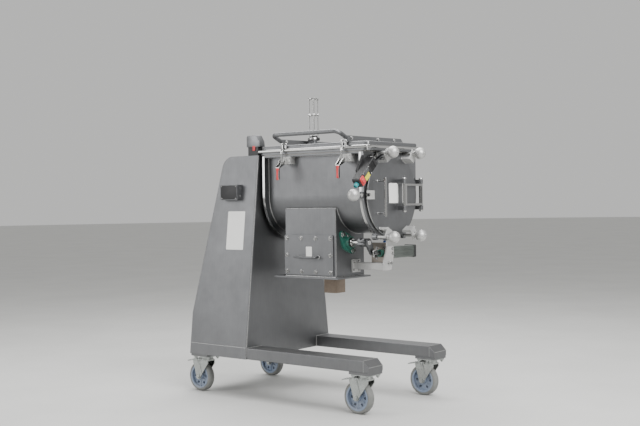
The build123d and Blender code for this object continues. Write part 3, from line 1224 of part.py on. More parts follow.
# Hinge link: an open frame of two tubes and two flat bars between the frame pin and the door pin
with BuildPart() as door_link:
    dx = LINK_FRAME_PIN_X - LINK_DOOR_PIN_X
    dy = LINK_FRAME_PIN_Y - LINK_DOOR_PIN_Y
    span = hypot(dx, dy)
    shift = LINK_TUBE_RADIUS - LINK_THICKNESS / 2
    middle = (
        (LINK_DOOR_PIN_X + LINK_FRAME_PIN_X) / 2 + shift * dy / span,
        (LINK_DOOR_PIN_Y + LINK_FRAME_PIN_Y) / 2 - shift * dx / span,
    )
    with BuildSketch(Plane.XY.offset(AXIS_Z)):
        with Locations(Location((middle[0], middle[1]), degrees(atan2(dy, dx)))):
            Rectangle(span, LINK_THICKNESS)
        with Locations((LINK_DOOR_PIN_X, LINK_DOOR_PIN_Y), (LINK_FRAME_PIN_X, LINK_FRAME_PIN_Y)):
            Circle(LINK_TUBE_RADIUS)
    extrude(amount=LINK_HALF, both=True)
    with BuildSketch(Plane.XY.offset(AXIS_Z)):
        with Locations(Location((middle[0], middle[1]), degrees(atan2(dy, dx)))):
            Rectangle(span - 2 * LINK_TUBE_RADIUS, 2 * LINK_TUBE_RADIUS)
    extrude(amount=LINK_HALF - LINK_BAR_HEIGHT, both=True, mode=Mode.SUBTRACT)
    with BuildSketch(Plane.XY.offset(AXIS_Z)):
        with Locations((LINK_FRAME_PIN_X, LINK_FRAME_PIN_Y)):
            Circle(LINK_PIN_RADIUS + RUNNING_FIT)
    extrude(amount=LINK_HEIGHT, both=True, mode=Mode.SUBTRACT)
    with BuildSketch(Plane.XY.offset(AXIS_Z)):
        with Locations((LINK_DOOR_PIN_X, LINK_DOOR_PIN_Y)):
            Circle(LINK_PIN_RADIUS)
    extrude(amount=LINK_HALF + KNUCKLE_HEIGHT + 5, both=True)
save(door_link, "door_link")

# Safety switches: one slanting beside the door, one on top of the column at the lid's rear corner
with BuildPart() as safety_switches:
    switch_back_x = FLANGE_FACE_X + 1
    high = (-169, 1149)
    low = (-292, 1040)
    slant = degrees(atan2(high[1] - low[1], high[0] - low[0]))
    switch_middle = ((high[0] + low[0]) / 2, (high[1] + low[1]) / 2)
    with BuildSketch(Plane.YZ.offset(switch_back_x)):
        with Locations(Location(switch_middle, slant)):
            RectangleRounded(DOOR_SWITCH_LENGTH, DOOR_SWITCH_WIDTH, 8)
    extrude(amount=DOOR_SWITCH_DEPTH)
    fillet(safety_switches.faces().sort_by(Axis.X)[-1].edges(), 5)
    with BuildSketch(Plane.YZ.offset(SHELL_END_X)):
        with BuildLine():
            Polyline((-150, 1190), (-205, 1190), (-262, 1100), (-238, 1062), (-150, 1140), close=True)
        make_face()
        with Locations((0, AXIS_Z)):
            Circle(END_PLATE_RADIUS, mode=Mode.SUBTRACT)
            Rectangle(2 * END_PLATE_RADIUS, 4 * END_PLATE_RADIUS, align=(Align.CENTER, Align.MIN), mode=Mode.SUBTRACT)
    extrude(amount=switch_back_x - SHELL_END_X)
    lid_switch_x = COLUMN_FRONT_X - LID_SWITCH_LENGTH / 2 - 6
    with BuildSketch(Plane.XY.offset(COLUMN_TOP_Z)):
        with Locations((lid_switch_x, -COLUMN_TOP_WIDTH / 2 + LID_SWITCH_WIDTH / 2 + 4)):
            Rectangle(LID_SWITCH_LENGTH, LID_SWITCH_WIDTH)
    extrude(amount=LID_SWITCH_HEIGHT)
save(safety_switches, "safety_switches")

# Discharge valve housing: a box whose top follows the shell
def yz_plane(x):
    """Plane at x with Y to the right and Z up from the floor."""
    return Plane(origin=(x, 0, 0), x_dir=(0, 1, 0), z_dir=(1, 0, 0))


HOUSING_Y = (HOUSING_NEAR_Y + HOUSING_FAR_Y) / 2
HOUSING_WIDTH = HOUSING_FAR_Y - HOUSING_NEAR_Y
COVER_X = HOUSING_START_X + COVER_LENGTH / 2
COVER_Z = COVER_BOTTOM_Z + COVER_HEIGHT / 2
with BuildPart() as valve_housing:
    with BuildSketch(yz_plane(HOUSING_START_X)):
        with Locations((HOUSING_Y, (HOUSING_BOTTOM_Z + HOUSING_TOP_Z) / 2)):
            Rectangle(HOUSING_WIDTH, HOUSING_TOP_Z - HOUSING_BOTTOM_Z)
    extrude(amount=HOUSING_LENGTH)
    fillet(valve_housing.edges().filter_by(Axis.Z), HOUSING_WALL)
    with BuildSketch(yz_plane(HOUSING_START_X + HOUSING_WALL)):
        with Locations((HOUSING_Y, (HOUSING_BOTTOM_Z + HOUSING_TOP_Z) / 2 - HOUSING_WALL)):
            Rectangle(HOUSING_WIDTH - 2 * HOUSING_WALL, HOUSING_TOP_Z - HOUSING_BOTTOM_Z)
    extrude(amount=HOUSING_LENGTH - 2 * HOUSING_WALL, mode=Mode.SUBTRACT)
    with BuildSketch(yz_plane(HOUSING_START_X)):
        with Locations((0, AXIS_Z)):
            Circle(SHELL_RADIUS)
    extrude(amount=HOUSING_LENGTH, mode=Mode.SUBTRACT)
    with BuildSketch(yz_plane(HOUSING_START_X)):
        with Locations((VALVE_Y, VALVE_Z)):
            Circle(VALVE_SHAFT_RADIUS + SWING_GAP)
    extrude(amount=HOUSING_LENGTH, mode=Mode.SUBTRACT)
    with BuildSketch(Plane.XZ.offset(-HOUSING_NEAR_Y)):
        with Locations((COVER_X, COVER_Z)):
            Rectangle(COVER_LENGTH - 4 * COVER_BOLT_INSET, COVER_HEIGHT - 3 * COVER_BOLT_INSET)
    extrude(amount=-2 * HOUSING_WALL, mode=Mode.SUBTRACT)
save(valve_housing, "valve_housing")

# Bolted cover with its U handle
cover_columns = (COVER_LENGTH - 2 * COVER_BOLT_INSET) / 3
cover_rows = COVER_HEIGHT - 2 * COVER_BOLT_INSET
with BuildPart() as valve_cover:
    with BuildSketch(Plane.XZ.offset(-HOUSING_NEAR_Y)):
        with Locations((COVER_X, COVER_Z)):
            RectangleRounded(COVER_LENGTH, COVER_HEIGHT, 6)
    extrude(amount=COVER_THICKNESS)
    cover_face_y = HOUSING_NEAR_Y - COVER_THICKNESS
    with BuildLine() as cover_handle_line:
        FilletPolyline(
            (COVER_X - COVER_HANDLE_LENGTH / 2, cover_face_y, COVER_HANDLE_Z),
            (COVER_X - COVER_HANDLE_LENGTH / 2, cover_face_y - COVER_HANDLE_REACH, COVER_HANDLE_Z),
            (COVER_X + COVER_HANDLE_LENGTH / 2, cover_face_y - COVER_HANDLE_REACH, COVER_HANDLE_Z),
            (COVER_X + COVER_HANDLE_LENGTH / 2, cover_face_y, COVER_HANDLE_Z),
            radius=2.4 * COVER_HANDLE_RADIUS,
        )
    with BuildSketch(Plane.XZ.offset(-cover_face_y)):
        with Locations((COVER_X - COVER_HANDLE_LENGTH / 2, COVER_HANDLE_Z)):
            Circle(COVER_HANDLE_RADIUS)
    sweep(path=cover_handle_line.wires()[0])
save(valve_cover, "valve_cover")

with BuildPart() as cover_bolts:
    with BuildSketch(Plane.XZ.offset(-cover_face_y)):
        with Locations((COVER_X, COVER_Z)):
            with GridLocations(cover_columns, cover_rows, 4, 2):
                RegularPolygon(COVER_BOLT_RADIUS, 6)
            with GridLocations(3 * cover_columns, cover_rows, 2, 1):
                RegularPolygon(COVER_BOLT_RADIUS, 6)
    extrude(amount=COVER_BOLT_RADIUS * 0.8)
save(cover_bolts, "cover_bolts")

# Outlet plate under the housing with the square spout
with BuildPart() as outlet:
    outlet_y = (OUTLET_PLATE_NEAR_Y + OUTLET_PLATE_FAR_Y) / 2
    with BuildSketch(Plane.XY.offset(HOUSING_BOTTOM_Z)):
        with Locations((COLUMN_FRONT_X + OUTLET_PLATE_START + OUTLET_PLATE_LENGTH / 2, outlet_y)):
            Rectangle(OUTLET_PLATE_LENGTH, OUTLET_PLATE_FAR_Y - OUTLET_PLATE_NEAR_Y)
    extrude(amount=-OUTLET_PLATE_THICKNESS)
    with BuildSketch(Plane.XY.offset(HOUSING_BOTTOM_Z - OUTLET_PLATE_THICKNESS)):
        with Locations((SPOUT_X, 0)):
            RectangleRounded(SPOUT_SIDE, SPOUT_SIDE, 6)
    extrude(amount=-SPOUT_HEIGHT)
    with BuildSketch(Plane.XY.offset(HOUSING_BOTTOM_Z)):
        with Locations((SPOUT_X, 0)):
            RectangleRounded(SPOUT_SIDE - 2 * SPOUT_WALL, SPOUT_SIDE - 2 * SPOUT_WALL, 3)
    extrude(amount=-OUTLET_PLATE_THICKNESS - SPOUT_HEIGHT, mode=Mode.SUBTRACT)
save(outlet, "outlet")


def bearing(x, facing):
    """Oval two-bolt flange bearing, slanting at 45 degrees, on a housing wall."""
    wall = Plane(origin=(x, VALVE_Y, VALVE_Z), x_dir=(0, 1, 0), z_dir=(1, 0, 0))
    with BuildPart() as unit:
        with BuildSketch(wall) as flange:
            Circle(BEARING_BOSS_RADIUS + 8)
            reach = BEARING_LENGTH / 2 - BEARING_FLANGE_RADIUS
            ends = [(side * reach * cos(pi / 4), -side * reach * sin(pi / 4)) for side in (-1, 1)]
            with Locations(*ends):
                Circle(BEARING_FLANGE_RADIUS)
            make_hull()
        extrude(amount=facing * BEARING_FLANGE_THICKNESS)
        with BuildSketch(wall):
            Circle(BEARING_BOSS_RADIUS)
        extrude(amount=facing * BEARING_DEPTH, taper=6)
        with BuildSketch(wall.offset(facing * BEARING_FLANGE_THICKNESS)):
            with Locations(*ends):
                RegularPolygon(BEARING_FLANGE_RADIUS * 0.6, 6)
        extrude(amount=facing * 8)
        with BuildSketch(wall):
            Circle(VALVE_SHAFT_RADIUS + RUNNING_FIT)
        extrude(amount=facing * 2 * BEARING_DEPTH, mode=Mode.SUBTRACT)
    return unit.part


with BuildPart() as valve_bearings:
    add(bearing(HOUSING_START_X, -1))
    add(bearing(HOUSING_END_X, 1))
save(valve_bearings, "valve_bearings")

# Valve shaft
VALVE_SHAFT_START_X = HOUSING_START_X - BEARING_DEPTH - 6
with BuildPart() as valve_shaft:
    with BuildSketch(yz_plane(VALVE_SHAFT_START_X)):
        with Locations((VALVE_Y, VALVE_Z)):
            Circle(VALVE_SHAFT_RADIUS)
    extrude(amount=CRANK_END_X + 3 - VALVE_SHAFT_START_X)
    chamfer(valve_shaft.edges().filter_by(GeomType.CIRCLE), 1.5)
save(valve_shaft, "valve_shaft")

# Curved flap on two arms, its upper face just under the shell
FLAP_INNER = SHELL_RADIUS + SEAT_GAP
with BuildPart() as valve_flap:
    with BuildSketch(axis_plane(VALVE_START_X - FLAP_LAP_LENGTH)):
        arc_band(
            FLAP_INNER,
            FLAP_INNER + FLAP_THICKNESS,
            VALVE_OPENING_NEAR_ANGLE - FLAP_LAP_ANGLE,
            VALVE_OPENING_FAR_ANGLE + FLAP_LAP_ANGLE,
        )
    extrude(amount=VALVE_OPENING_LENGTH + 2 * FLAP_LAP_LENGTH)
    for share in (0.2, 0.8):
        arm_x = VALVE_START_X + share * VALVE_OPENING_LENGTH
        with BuildSketch(yz_plane(arm_x)):
            near = arc_point(FLAP_INNER, VALVE_OPENING_NEAR_ANGLE)
            far = arc_point(FLAP_INNER, VALVE_OPENING_FAR_ANGLE)
            with BuildLine():
                Polyline(
                    (VALVE_Y - FLAP_HUB_RADIUS * 0.7, VALVE_Z + FLAP_HUB_RADIUS * 0.7),
                    (near[0], AXIS_Z + near[1]),
                    (far[0], AXIS_Z + far[1]),
                    (far[0], AXIS_Z + far[1] - 3 * FLAP_THICKNESS),
                    (VALVE_Y + FLAP_HUB_RADIUS * 0.7, VALVE_Z - FLAP_HUB_RADIUS * 0.7),
                    close=True,
                )
            make_face()
            with Locations((VALVE_Y, VALVE_Z)):
                Circle(FLAP_HUB_RADIUS)
            with Locations((0, AXIS_Z)):
                Circle(FLAP_INNER + FLAP_THICKNESS / 2, mode=Mode.SUBTRACT)
        extrude(amount=FLAP_ARM_THICKNESS / 2, both=True)
        with BuildSketch(yz_plane(arm_x)):
            with Locations((VALVE_Y, VALVE_Z)):
                Circle(FLAP_HUB_RADIUS)
        extrude(amount=FLAP_ARM_THICKNESS, both=True)
    with BuildSketch(yz_plane(VALVE_START_X)):
        with Locations((VALVE_Y, VALVE_Z)):
            Circle(VALVE_SHAFT_RADIUS)
    extrude(amount=VALVE_OPENING_LENGTH, mode=Mode.SUBTRACT)
save(valve_flap, "valve_flap")

# Crank on the front end of the shaft, with the pin that works the yoke
with BuildPart() as valve_crank:
    with BuildSketch(yz_plane(CRANK_END_X - CRANK_HUB_LENGTH)):
        with Locations((VALVE_Y, VALVE_Z)):
            Circle(CRANK_HUB_RADIUS)
    extrude(amount=CRANK_HUB_LENGTH)
    with BuildSketch(yz_plane(CRANK_END_X - CRANK_THICKNESS)):
        with Locations((VALVE_Y, VALVE_Z)):
            Circle(CRANK_HUB_RADIUS)
        with Locations((CRANK_PIN_Y, CRANK_PIN_Z)):
            Circle(CRANK_HUB_RADIUS * 0.65)
        make_hull()
    extrude(amount=CRANK_THICKNESS)
    with BuildSketch(yz_plane(CRANK_END_X - CRANK_THICKNESS)):
        with Locations((CRANK_PIN_Y, CRANK_PIN_Z)):
            Circle(CRANK_PIN_RADIUS)
    extrude(amount=CRANK_THICKNESS + YOKE_GAP + YOKE_THICKNESS + 6)
    with BuildSketch(yz_plane(CRANK_END_X + YOKE_GAP + YOKE_THICKNESS + 2)):
        with Locations((CRANK_PIN_Y, CRANK_PIN_Z)):
            Circle(CRANK_PIN_RADIUS + 3)
    extrude(amount=4)
    with BuildSketch(yz_plane(CRANK_END_X - CRANK_HUB_LENGTH)):
        with Locations((VALVE_Y, VALVE_Z)):
            Circle(VALVE_SHAFT_RADIUS)
    extrude(amount=CRANK_HUB_LENGTH, mode=Mode.SUBTRACT)
save(valve_crank, "valve_crank")

# Cylinder rod with the slotted yoke that the crank pin slides in
with BuildPart() as rod_yoke:
    slot_width = 2 * (CRANK_PIN_RADIUS + YOKE_SLOT_PLAY)
    slot_height = slot_width + CRANK_LENGTH * (1 - cos(radians(CRANK_REST_ANGLE))) + SWING_GAP
    with BuildSketch(yz_plane(YOKE_X)):
        with Locations((CRANK_PIN_Y, CYLINDER_Z)):
            RectangleRounded(slot_width + 16, slot_height + 16, 7)
            SlotOverall(slot_height, slot_width, rotation=90, mode=Mode.SUBTRACT)
    extrude(amount=YOKE_THICKNESS)
    rod_start_y = CRANK_PIN_Y + slot_width / 2 + 6
    with BuildSketch(Plane.XZ.offset(-rod_start_y)):
        with Locations((CYLINDER_X, CYLINDER_Z)):
            Circle(ROD_RADIUS)
    extrude(amount=-(CYLINDER_BODY_END_Y - CYLINDER_REAR_CAP_LENGTH - CRANK_LENGTH - rod_start_y))
save(rod_yoke, "rod_yoke")

# Pneumatic cylinder with a gland and an air port in each end cap
with BuildPart() as air_cylinder:
    def cylinder_section(y, side, corner):
        """Rounded square section of the cylinder at y."""
        with BuildSketch(Plane.XZ.offset(-y)) as section:
            with Locations((CYLINDER_X, CYLINDER_Z)):
                RectangleRounded(side, side, corner)
        return section.sketch

    front_cap_end = CYLINDER_BODY_START_Y + CYLINDER_CAP_LENGTH
    rear_cap_start = CYLINDER_BODY_END_Y - CYLINDER_REAR_CAP_LENGTH
    extrude(cylinder_section(CYLINDER_BODY_START_Y, CYLINDER_SIDE, 6), amount=-CYLINDER_CAP_LENGTH)
    tube_side = CYLINDER_SIDE - 2 * CYLINDER_TUBE_INSET
    extrude(cylinder_section(front_cap_end, tube_side, 9), amount=-(rear_cap_start - front_cap_end))
    extrude(cylinder_section(rear_cap_start, CYLINDER_SIDE, 6), amount=-CYLINDER_REAR_CAP_LENGTH)
    with BuildSketch(Plane.XZ.offset(-CYLINDER_BODY_START_Y)):
        with Locations((CYLINDER_X, CYLINDER_Z)):
            Circle(GLAND_RADIUS)
    extrude(amount=BRACKET_PLATE + GLAND_LENGTH)
    with BuildSketch(Plane.XZ.offset(-CYLINDER_BODY_START_Y + BRACKET_PLATE + GLAND_LENGTH)):
        with Locations((CYLINDER_X, CYLINDER_Z)):
            Circle(ROD_RADIUS + RUNNING_FIT)
    extrude(amount=-(rear_cap_start - CYLINDER_BODY_START_Y + BRACKET_PLATE + GLAND_LENGTH), mode=Mode.SUBTRACT)
    with BuildSketch(Plane.XY.offset(CYLINDER_Z + CYLINDER_SIDE / 2)):
        with Locations((CYLINDER_X, front_cap_end - CYLINDER_CAP_LENGTH / 2)):
            Circle(AIR_PORT_RADIUS)
    extrude(amount=-AIR_PORT_DEPTH, mode=Mode.SUBTRACT)
    with BuildSketch(Plane.YZ.offset(CYLINDER_X + CYLINDER_SIDE / 2)):
        with Locations((CYLINDER_BODY_END_Y - CYLINDER_REAR_CAP_LENGTH / 2, CYLINDER_Z)):
            Circle(AIR_PORT_RADIUS)
    extrude(amount=-AIR_PORT_DEPTH, mode=Mode.SUBTRACT)
save(air_cylinder, "air_cylinder")

# Actuator bracket: an arm tube with its wall flange, a square plate for the cylinder's nose and a gusset
ARM_TOP_Z = ARM_TUBE_Z + ARM_TUBE_SIDE / 2
arm_section = Plane(origin=(HOUSING_END_X, ARM_TUBE_Y, ARM_TUBE_Z), x_dir=(0, 1, 0), z_dir=(1, 0, 0))
with BuildPart() as actuator_bracket:
    with BuildSketch(arm_section):
        Rectangle(1.8 * ARM_TUBE_SIDE, 1.8 * ARM_TUBE_SIDE)
    extrude(amount=GUSSET_THICKNESS)
    with BuildSketch(arm_section):
        RectangleRounded(ARM_TUBE_SIDE, ARM_TUBE_SIDE, 4)
    extrude(amount=GUSSET_X - HOUSING_END_X)
    with BuildSketch(Plane.XZ.offset(-CYLINDER_BODY_START_Y)):
        plate_left = CYLINDER_X - CYLINDER_SIDE / 2 - 25
        plate_top = CYLINDER_Z + CYLINDER_SIDE / 2 + 20
        with Locations(((plate_left + GUSSET_X) / 2, (ARM_TOP_Z + plate_top) / 2)):
            Rectangle(GUSSET_X - plate_left, plate_top - ARM_TOP_Z)
        with Locations((CYLINDER_X, CYLINDER_Z)):
            Circle(GLAND_RADIUS, mode=Mode.SUBTRACT)
    extrude(amount=BRACKET_PLATE)
    with BuildSketch(yz_plane(GUSSET_X)):
        arm_bottom = ARM_TUBE_Z - ARM_TUBE_SIDE / 2
        arm_near = ARM_TUBE_Y - ARM_TUBE_SIDE / 2
        with BuildLine():
            Polyline(
                (arm_near - 8, arm_bottom),
                (CYLINDER_BODY_START_Y + CYLINDER_CAP_LENGTH / 2, arm_bottom),
                (CYLINDER_BODY_START_Y + CYLINDER_CAP_LENGTH, CYLINDER_Z - CYLINDER_SIDE / 4),
                (CYLINDER_BODY_START_Y + CYLINDER_CAP_LENGTH, plate_top - 18),
                (BRACKET_PLATE_NEAR_Y, plate_top - 18),
                (arm_near - 8, ARM_TOP_Z),
                close=True,
            )
        make_face()
    extrude(amount=GUSSET_THICKNESS)
save(actuator_bracket, "actuator_bracket")
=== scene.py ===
from math import cos, pi, radians, sin

import bmesh
import bpy
from bpy.props import FloatProperty, FloatVectorProperty, PointerProperty
from mathutils import Matrix, Vector


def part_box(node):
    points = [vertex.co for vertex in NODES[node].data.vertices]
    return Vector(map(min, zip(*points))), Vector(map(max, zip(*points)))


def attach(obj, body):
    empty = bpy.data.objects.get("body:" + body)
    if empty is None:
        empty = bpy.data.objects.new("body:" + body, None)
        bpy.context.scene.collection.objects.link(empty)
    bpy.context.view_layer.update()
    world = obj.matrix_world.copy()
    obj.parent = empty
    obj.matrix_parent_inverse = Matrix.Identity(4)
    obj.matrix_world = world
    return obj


bl_info = {
    "name": "Ribbon blender",
    "version": (1, 0, 0),
    "blender": (4, 5, 0),
    "location": "View3D > Sidebar > Blender",
    "description": "Dresses the packed ribbon blender and sets its stage",
    "category": "Object",
}

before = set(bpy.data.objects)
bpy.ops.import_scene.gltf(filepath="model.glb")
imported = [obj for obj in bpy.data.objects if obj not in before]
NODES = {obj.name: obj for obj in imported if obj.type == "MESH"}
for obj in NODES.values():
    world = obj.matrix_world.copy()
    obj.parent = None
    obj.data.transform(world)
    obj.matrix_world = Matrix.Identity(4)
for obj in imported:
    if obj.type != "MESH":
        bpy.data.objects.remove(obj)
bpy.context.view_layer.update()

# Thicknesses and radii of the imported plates, and the latch stems' place across the machine
FLANGE_THICKNESS = 0.012
DOOR_DEPTH = 0.012
TROUGH_RADIUS = 0.1835
SADDLE_RADIUS = 0.1838
LATCH_STEM_Y = -0.234

# Two sides, and the names of what is there more than once
SIDES = (-1, 1)
CASTERS = ("front_near", "front_far", "rear_near", "rear_far")
LATCHES = ("rear_latch", "front_latch")


def middle(node):
    """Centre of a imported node's box."""
    low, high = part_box(node)
    return (low + high) / 2


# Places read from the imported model
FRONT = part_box("column_shell")[1].x
FLANGE_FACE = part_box("trough_shell")[1].x + FLANGE_THICKNESS
DOOR_FACE = FLANGE_FACE + DOOR_DEPTH
AXIS_Z = middle("agitator_shaft").z
HOUSING_LOW, HOUSING_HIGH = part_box("valve_housing")
COVER_LOW, COVER_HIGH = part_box("valve_cover")
CYLINDER_LOW, CYLINDER_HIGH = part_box("air_cylinder")
CYLINDER_X, CYLINDER_Z = middle("air_cylinder").xz
VALVE_Y, VALVE_Z = middle("valve_shaft").yz


def spot(x, y, z):
    """A point in millimetres: x from the column's front face to the door, y across, z from the floor."""
    return Vector((FRONT + x / 1000, y / 1000, z / 1000))


def turns(count):
    """Cosine and sine of count even steps round a circle."""
    angles = [2 * pi * step / count for step in range(count)]
    return [(cos(angle), sin(angle)) for angle in angles]


def pose(origin, axis, up=(0, 0, 1)):
    """Matrix at origin whose Z runs along axis and whose X stays as near to up as it can."""
    z = Vector(axis).normalized()
    x = Vector(up) - z * Vector(up).dot(z)
    if x.length < 1e-4:
        x = Vector((1, 0, 0)) - z * z.x
    x.normalize()
    turned = Matrix((x, z.cross(x), z)).transposed().to_4x4()
    turned.translation = Vector(origin)
    return turned


# Edges that turn more than this stay crisp
SHARP_ANGLE = radians(38)


class Form:
    """Collects the faces of one piece, then turns them into an object that rides on a body."""

    def __init__(self):
        self.mesh = bmesh.new()

    def ring(self, points):
        """New corners at points, in their order."""
        return [self.mesh.verts.new(point) for point in points]

    def loft(self, rings, closed=False):
        """Join rings by faces and cap the two ends, or close the run. A ring of one point is a tip."""
        for low, high in zip(rings, rings[1:] + (rings[:1] if closed else [])):
            for step in range(max(len(low), len(high))):
                corners = [low[step % len(low)], low[(step + 1) % len(low)]]
                corners += [high[(step + 1) % len(high)], high[step % len(high)]]
                unique = list(dict.fromkeys(corners))
                if len(unique) > 2:
                    self.mesh.faces.new(unique)
        if not closed:
            for ring in (rings[0][::-1], rings[-1]):
                if len(ring) > 1:
                    self.mesh.faces.new(ring)

    def lathe(self, place, profile, sides=32, closed=False):
        """Turn a profile of (radius, height) pairs round the Z axis of place."""
        rings = []
        for radius, height in profile:
            course = turns(sides) if radius > 1e-6 else [(0, 0)]
            rings.append(self.ring(place @ Vector((radius * a, radius * b, height)) for a, b in course))
        self.loft(rings, closed)

    def slab(self, place, outline, thickness, bevel=0.0, steps=2):
        """Raise an outline of (x, y) pairs along the Z axis of place and round its edges."""
        low, high = (self.ring(place @ Vector((x, y, z)) for x, y in outline) for z in (0, thickness))
        faces = [self.mesh.faces.new(low[::-1]), self.mesh.faces.new(high)]
        for index in range(len(outline)):
            after = (index + 1) % len(outline)
            faces.append(self.mesh.faces.new((low[index], low[after], high[after], high[index])))
        if bevel:
            edges = list({edge for face in faces for edge in face.edges})
            bmesh.ops.bevel(
                self.mesh, geom=edges, offset=bevel, segments=steps,
                profile=0.5, affect="EDGES", clamp_overlap=True,
            )

    def block(self, place, size, bevel=0.001, steps=2):
        """Rounded block standing on the XY plane of place."""
        half_x, half_y = size[0] / 2, size[1] / 2
        outline = [(-half_x, -half_y), (half_x, -half_y), (half_x, half_y), (-half_x, half_y)]
        self.slab(place, outline, size[2], bevel, steps)

    def tube(self, points, radius, sides=12):
        """Sweep a round section along points."""
        points = [Vector(point) for point in points]
        rings = []
        normal = None
        for index, point in enumerate(points):
            along = (points[min(index + 1, len(points) - 1)] - points[max(index - 1, 0)]).normalized()
            if normal is None:
                seed = Vector((0, 0, 1)) if abs(along.z) < 0.9 else Vector((1, 0, 0))
                normal = along.cross(seed).normalized()
            normal = (normal - along * normal.dot(along)).normalized()
            side = along.cross(normal)
            rings.append(self.ring(point + normal * radius * a + side * radius * b for a, b in turns(sides)))
        self.loft(rings)

    def strip(self, points, outward, low, high, thickness):
        """Band along points, spanning X from low to high and lying thickness proud along outward."""
        rings = []
        for point, way in zip(points, outward):
            inner, outer = Vector(point), Vector(point) + Vector(way) * thickness
            corners = [(low, inner), (low, outer), (high, outer), (high, inner)]
            rings.append(self.ring((x, base.y, base.z) for x, base in corners))
        self.loft(rings)

    def bolt(self, origin, axis, radius, height=None, washer=True, up=(0, 0, 1)):
        """Hexagon head with a chamfered crown, on a washer."""
        height = height or radius * 1.1
        place = pose(origin, axis, up)
        if washer:
            rim = radius * 1.45
            profile = [(rim, 0), (rim, radius * 0.12), (rim * 0.96, radius * 0.2), (0, radius * 0.2)]
            self.lathe(place, profile, 28)
        base = radius * 0.2 if washer else 0
        self.lathe(place, [(radius, base), (radius, height * 0.9), (radius * 0.93, height)], 6)
        crown = [(0.9, 0.93), (0.84, 1), (0, 1)]
        profile = [(radius * 0.9, base + height * 0.8)] + [(radius * a, height * b) for a, b in crown]
        self.lathe(place, profile, 28)

    def screw(self, origin, axis, radius):
        """Low domed screw head with a hexagon socket."""
        place = pose(origin, axis)
        shares = [(1, 0), (0.98, 0.25), (0.8, 0.5), (0.5, 0.62), (0.42, 0.62), (0.4, 0.3), (0, 0.3)]
        self.lathe(place, [(radius * a, radius * b) for a, b in shares], 24)

    def finish(self, name, body, finish, slot=None):
        """Make the object, smooth it, give it its finish and let it ride on its body."""
        bmesh.ops.recalc_face_normals(self.mesh, faces=self.mesh.faces)
        data = bpy.data.meshes.new(name)
        self.mesh.to_mesh(data)
        self.mesh.free()
        data.shade_smooth()
        data.set_sharp_from_angle(angle=SHARP_ANGLE)
        piece = bpy.data.objects.new(name, data)
        bpy.context.scene.collection.objects.link(piece)
        data.materials.append(material(finish))
        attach(piece, body)


def section_place(x):
    """Place at x for an outline of (y, z) pairs that is raised along X."""
    return pose((x, 0, 0), (1, 0, 0), up=(0, 1, 0))


def rounded(width, height, radius, steps=5):
    """Outline of a rectangle with rounded corners, centred on the origin."""
    points = []
    for sign_x, sign_y, start in ((1, 1, 0), (-1, 1, 90), (-1, -1, 180), (1, -1, 270)):
        for step in range(steps + 1):
            angle = radians(start + 90 * step / steps)
            x = sign_x * (width / 2 - radius) + radius * cos(angle)
            y = sign_y * (height / 2 - radius) + radius * sin(angle)
            points.append((x, y))
    return points


def trough_course(radius, top, steps=36):
    """Points and outward ways of the trough's U section at x = 0, from the near rim to the far rim."""
    points = [Vector((0, -radius, top))]
    ways = [Vector((0, -1, 0))]
    for step in range(steps + 1):
        angle = pi + pi * step / steps
        way = Vector((0, cos(angle), sin(angle)))
        points.append(Vector((0, 0, AXIS_Z)) + way * radius)
        ways.append(way)
    points.append(Vector((0, radius, top)))
    ways.append(Vector((0, 1, 0)))
    return points, ways


# Shader effects


class Wiring:
    """Adds nodes to a tree and links whatever is a socket."""

    def __init__(self, tree):
        self.tree = tree

    def add(self, kind, inputs=None, **settings):
        """New shader node with these settings, its inputs linked or set."""
        node = self.tree.nodes.new("ShaderNode" + kind)
        for key, value in settings.items():
            setattr(node, key, value)
        for key, value in (inputs or {}).items():
            if isinstance(value, bpy.types.NodeSocket):
                self.tree.links.new(value, node.inputs[key])
            else:
                node.inputs[key].default_value = value
        return node

    def math(self, operation, first, second=0.0, clamp=False):
        """Result of an operation on two values."""
        return self.add("Math", {0: first, 1: second}, operation=operation, use_clamp=clamp).outputs[0]

    def mix(self, factor, first, second):
        """Colour between first and second."""
        inputs = {0: factor, 6: first, 7: second}
        return self.add("Mix", inputs, data_type="RGBA", clamp_factor=True).outputs[2]

    def noise(self, vector, scale, detail, roughness):
        """Cloudy value between 0 and 1."""
        inputs = {"Vector": vector, "Scale": scale, "Detail": detail, "Roughness": roughness}
        return self.add("TexNoise", inputs).outputs["Fac"]

    def range(self, value, low, high):
        """Value drawn out so that low to high becomes 0 to 1."""
        inputs = {"Value": value, "From Min": low, "From Max": high}
        return self.add("MapRange", inputs, clamp=True).outputs["Result"]

    def surface(self, inputs):
        """Make a Principled surface with these inputs the material's output."""
        self.add("OutputMaterial", {"Surface": self.add("BsdfPrincipled", inputs).outputs[0]})

    def give(self, end, **values):
        """Link values to a group's named outputs and return the group."""
        for name, value in values.items():
            self.tree.links.new(value, end[name])
        return self.tree


def effect(name, inputs, outputs):
    """New shader node group with named sockets: its wiring, what it takes in and what it puts out."""
    tree = bpy.data.node_groups.new(name, "ShaderNodeTree")
    for label, kind, value in inputs:
        socket = tree.interface.new_socket(label, in_out="INPUT", socket_type="NodeSocket" + kind)
        if value is not None:
            socket.default_value = value
    for label, kind in outputs:
        tree.interface.new_socket(label, in_out="OUTPUT", socket_type="NodeSocket" + kind)
    taken = tree.nodes.new("NodeGroupInput").outputs
    given = tree.nodes.new("NodeGroupOutput").inputs
    return Wiring(tree), taken, given


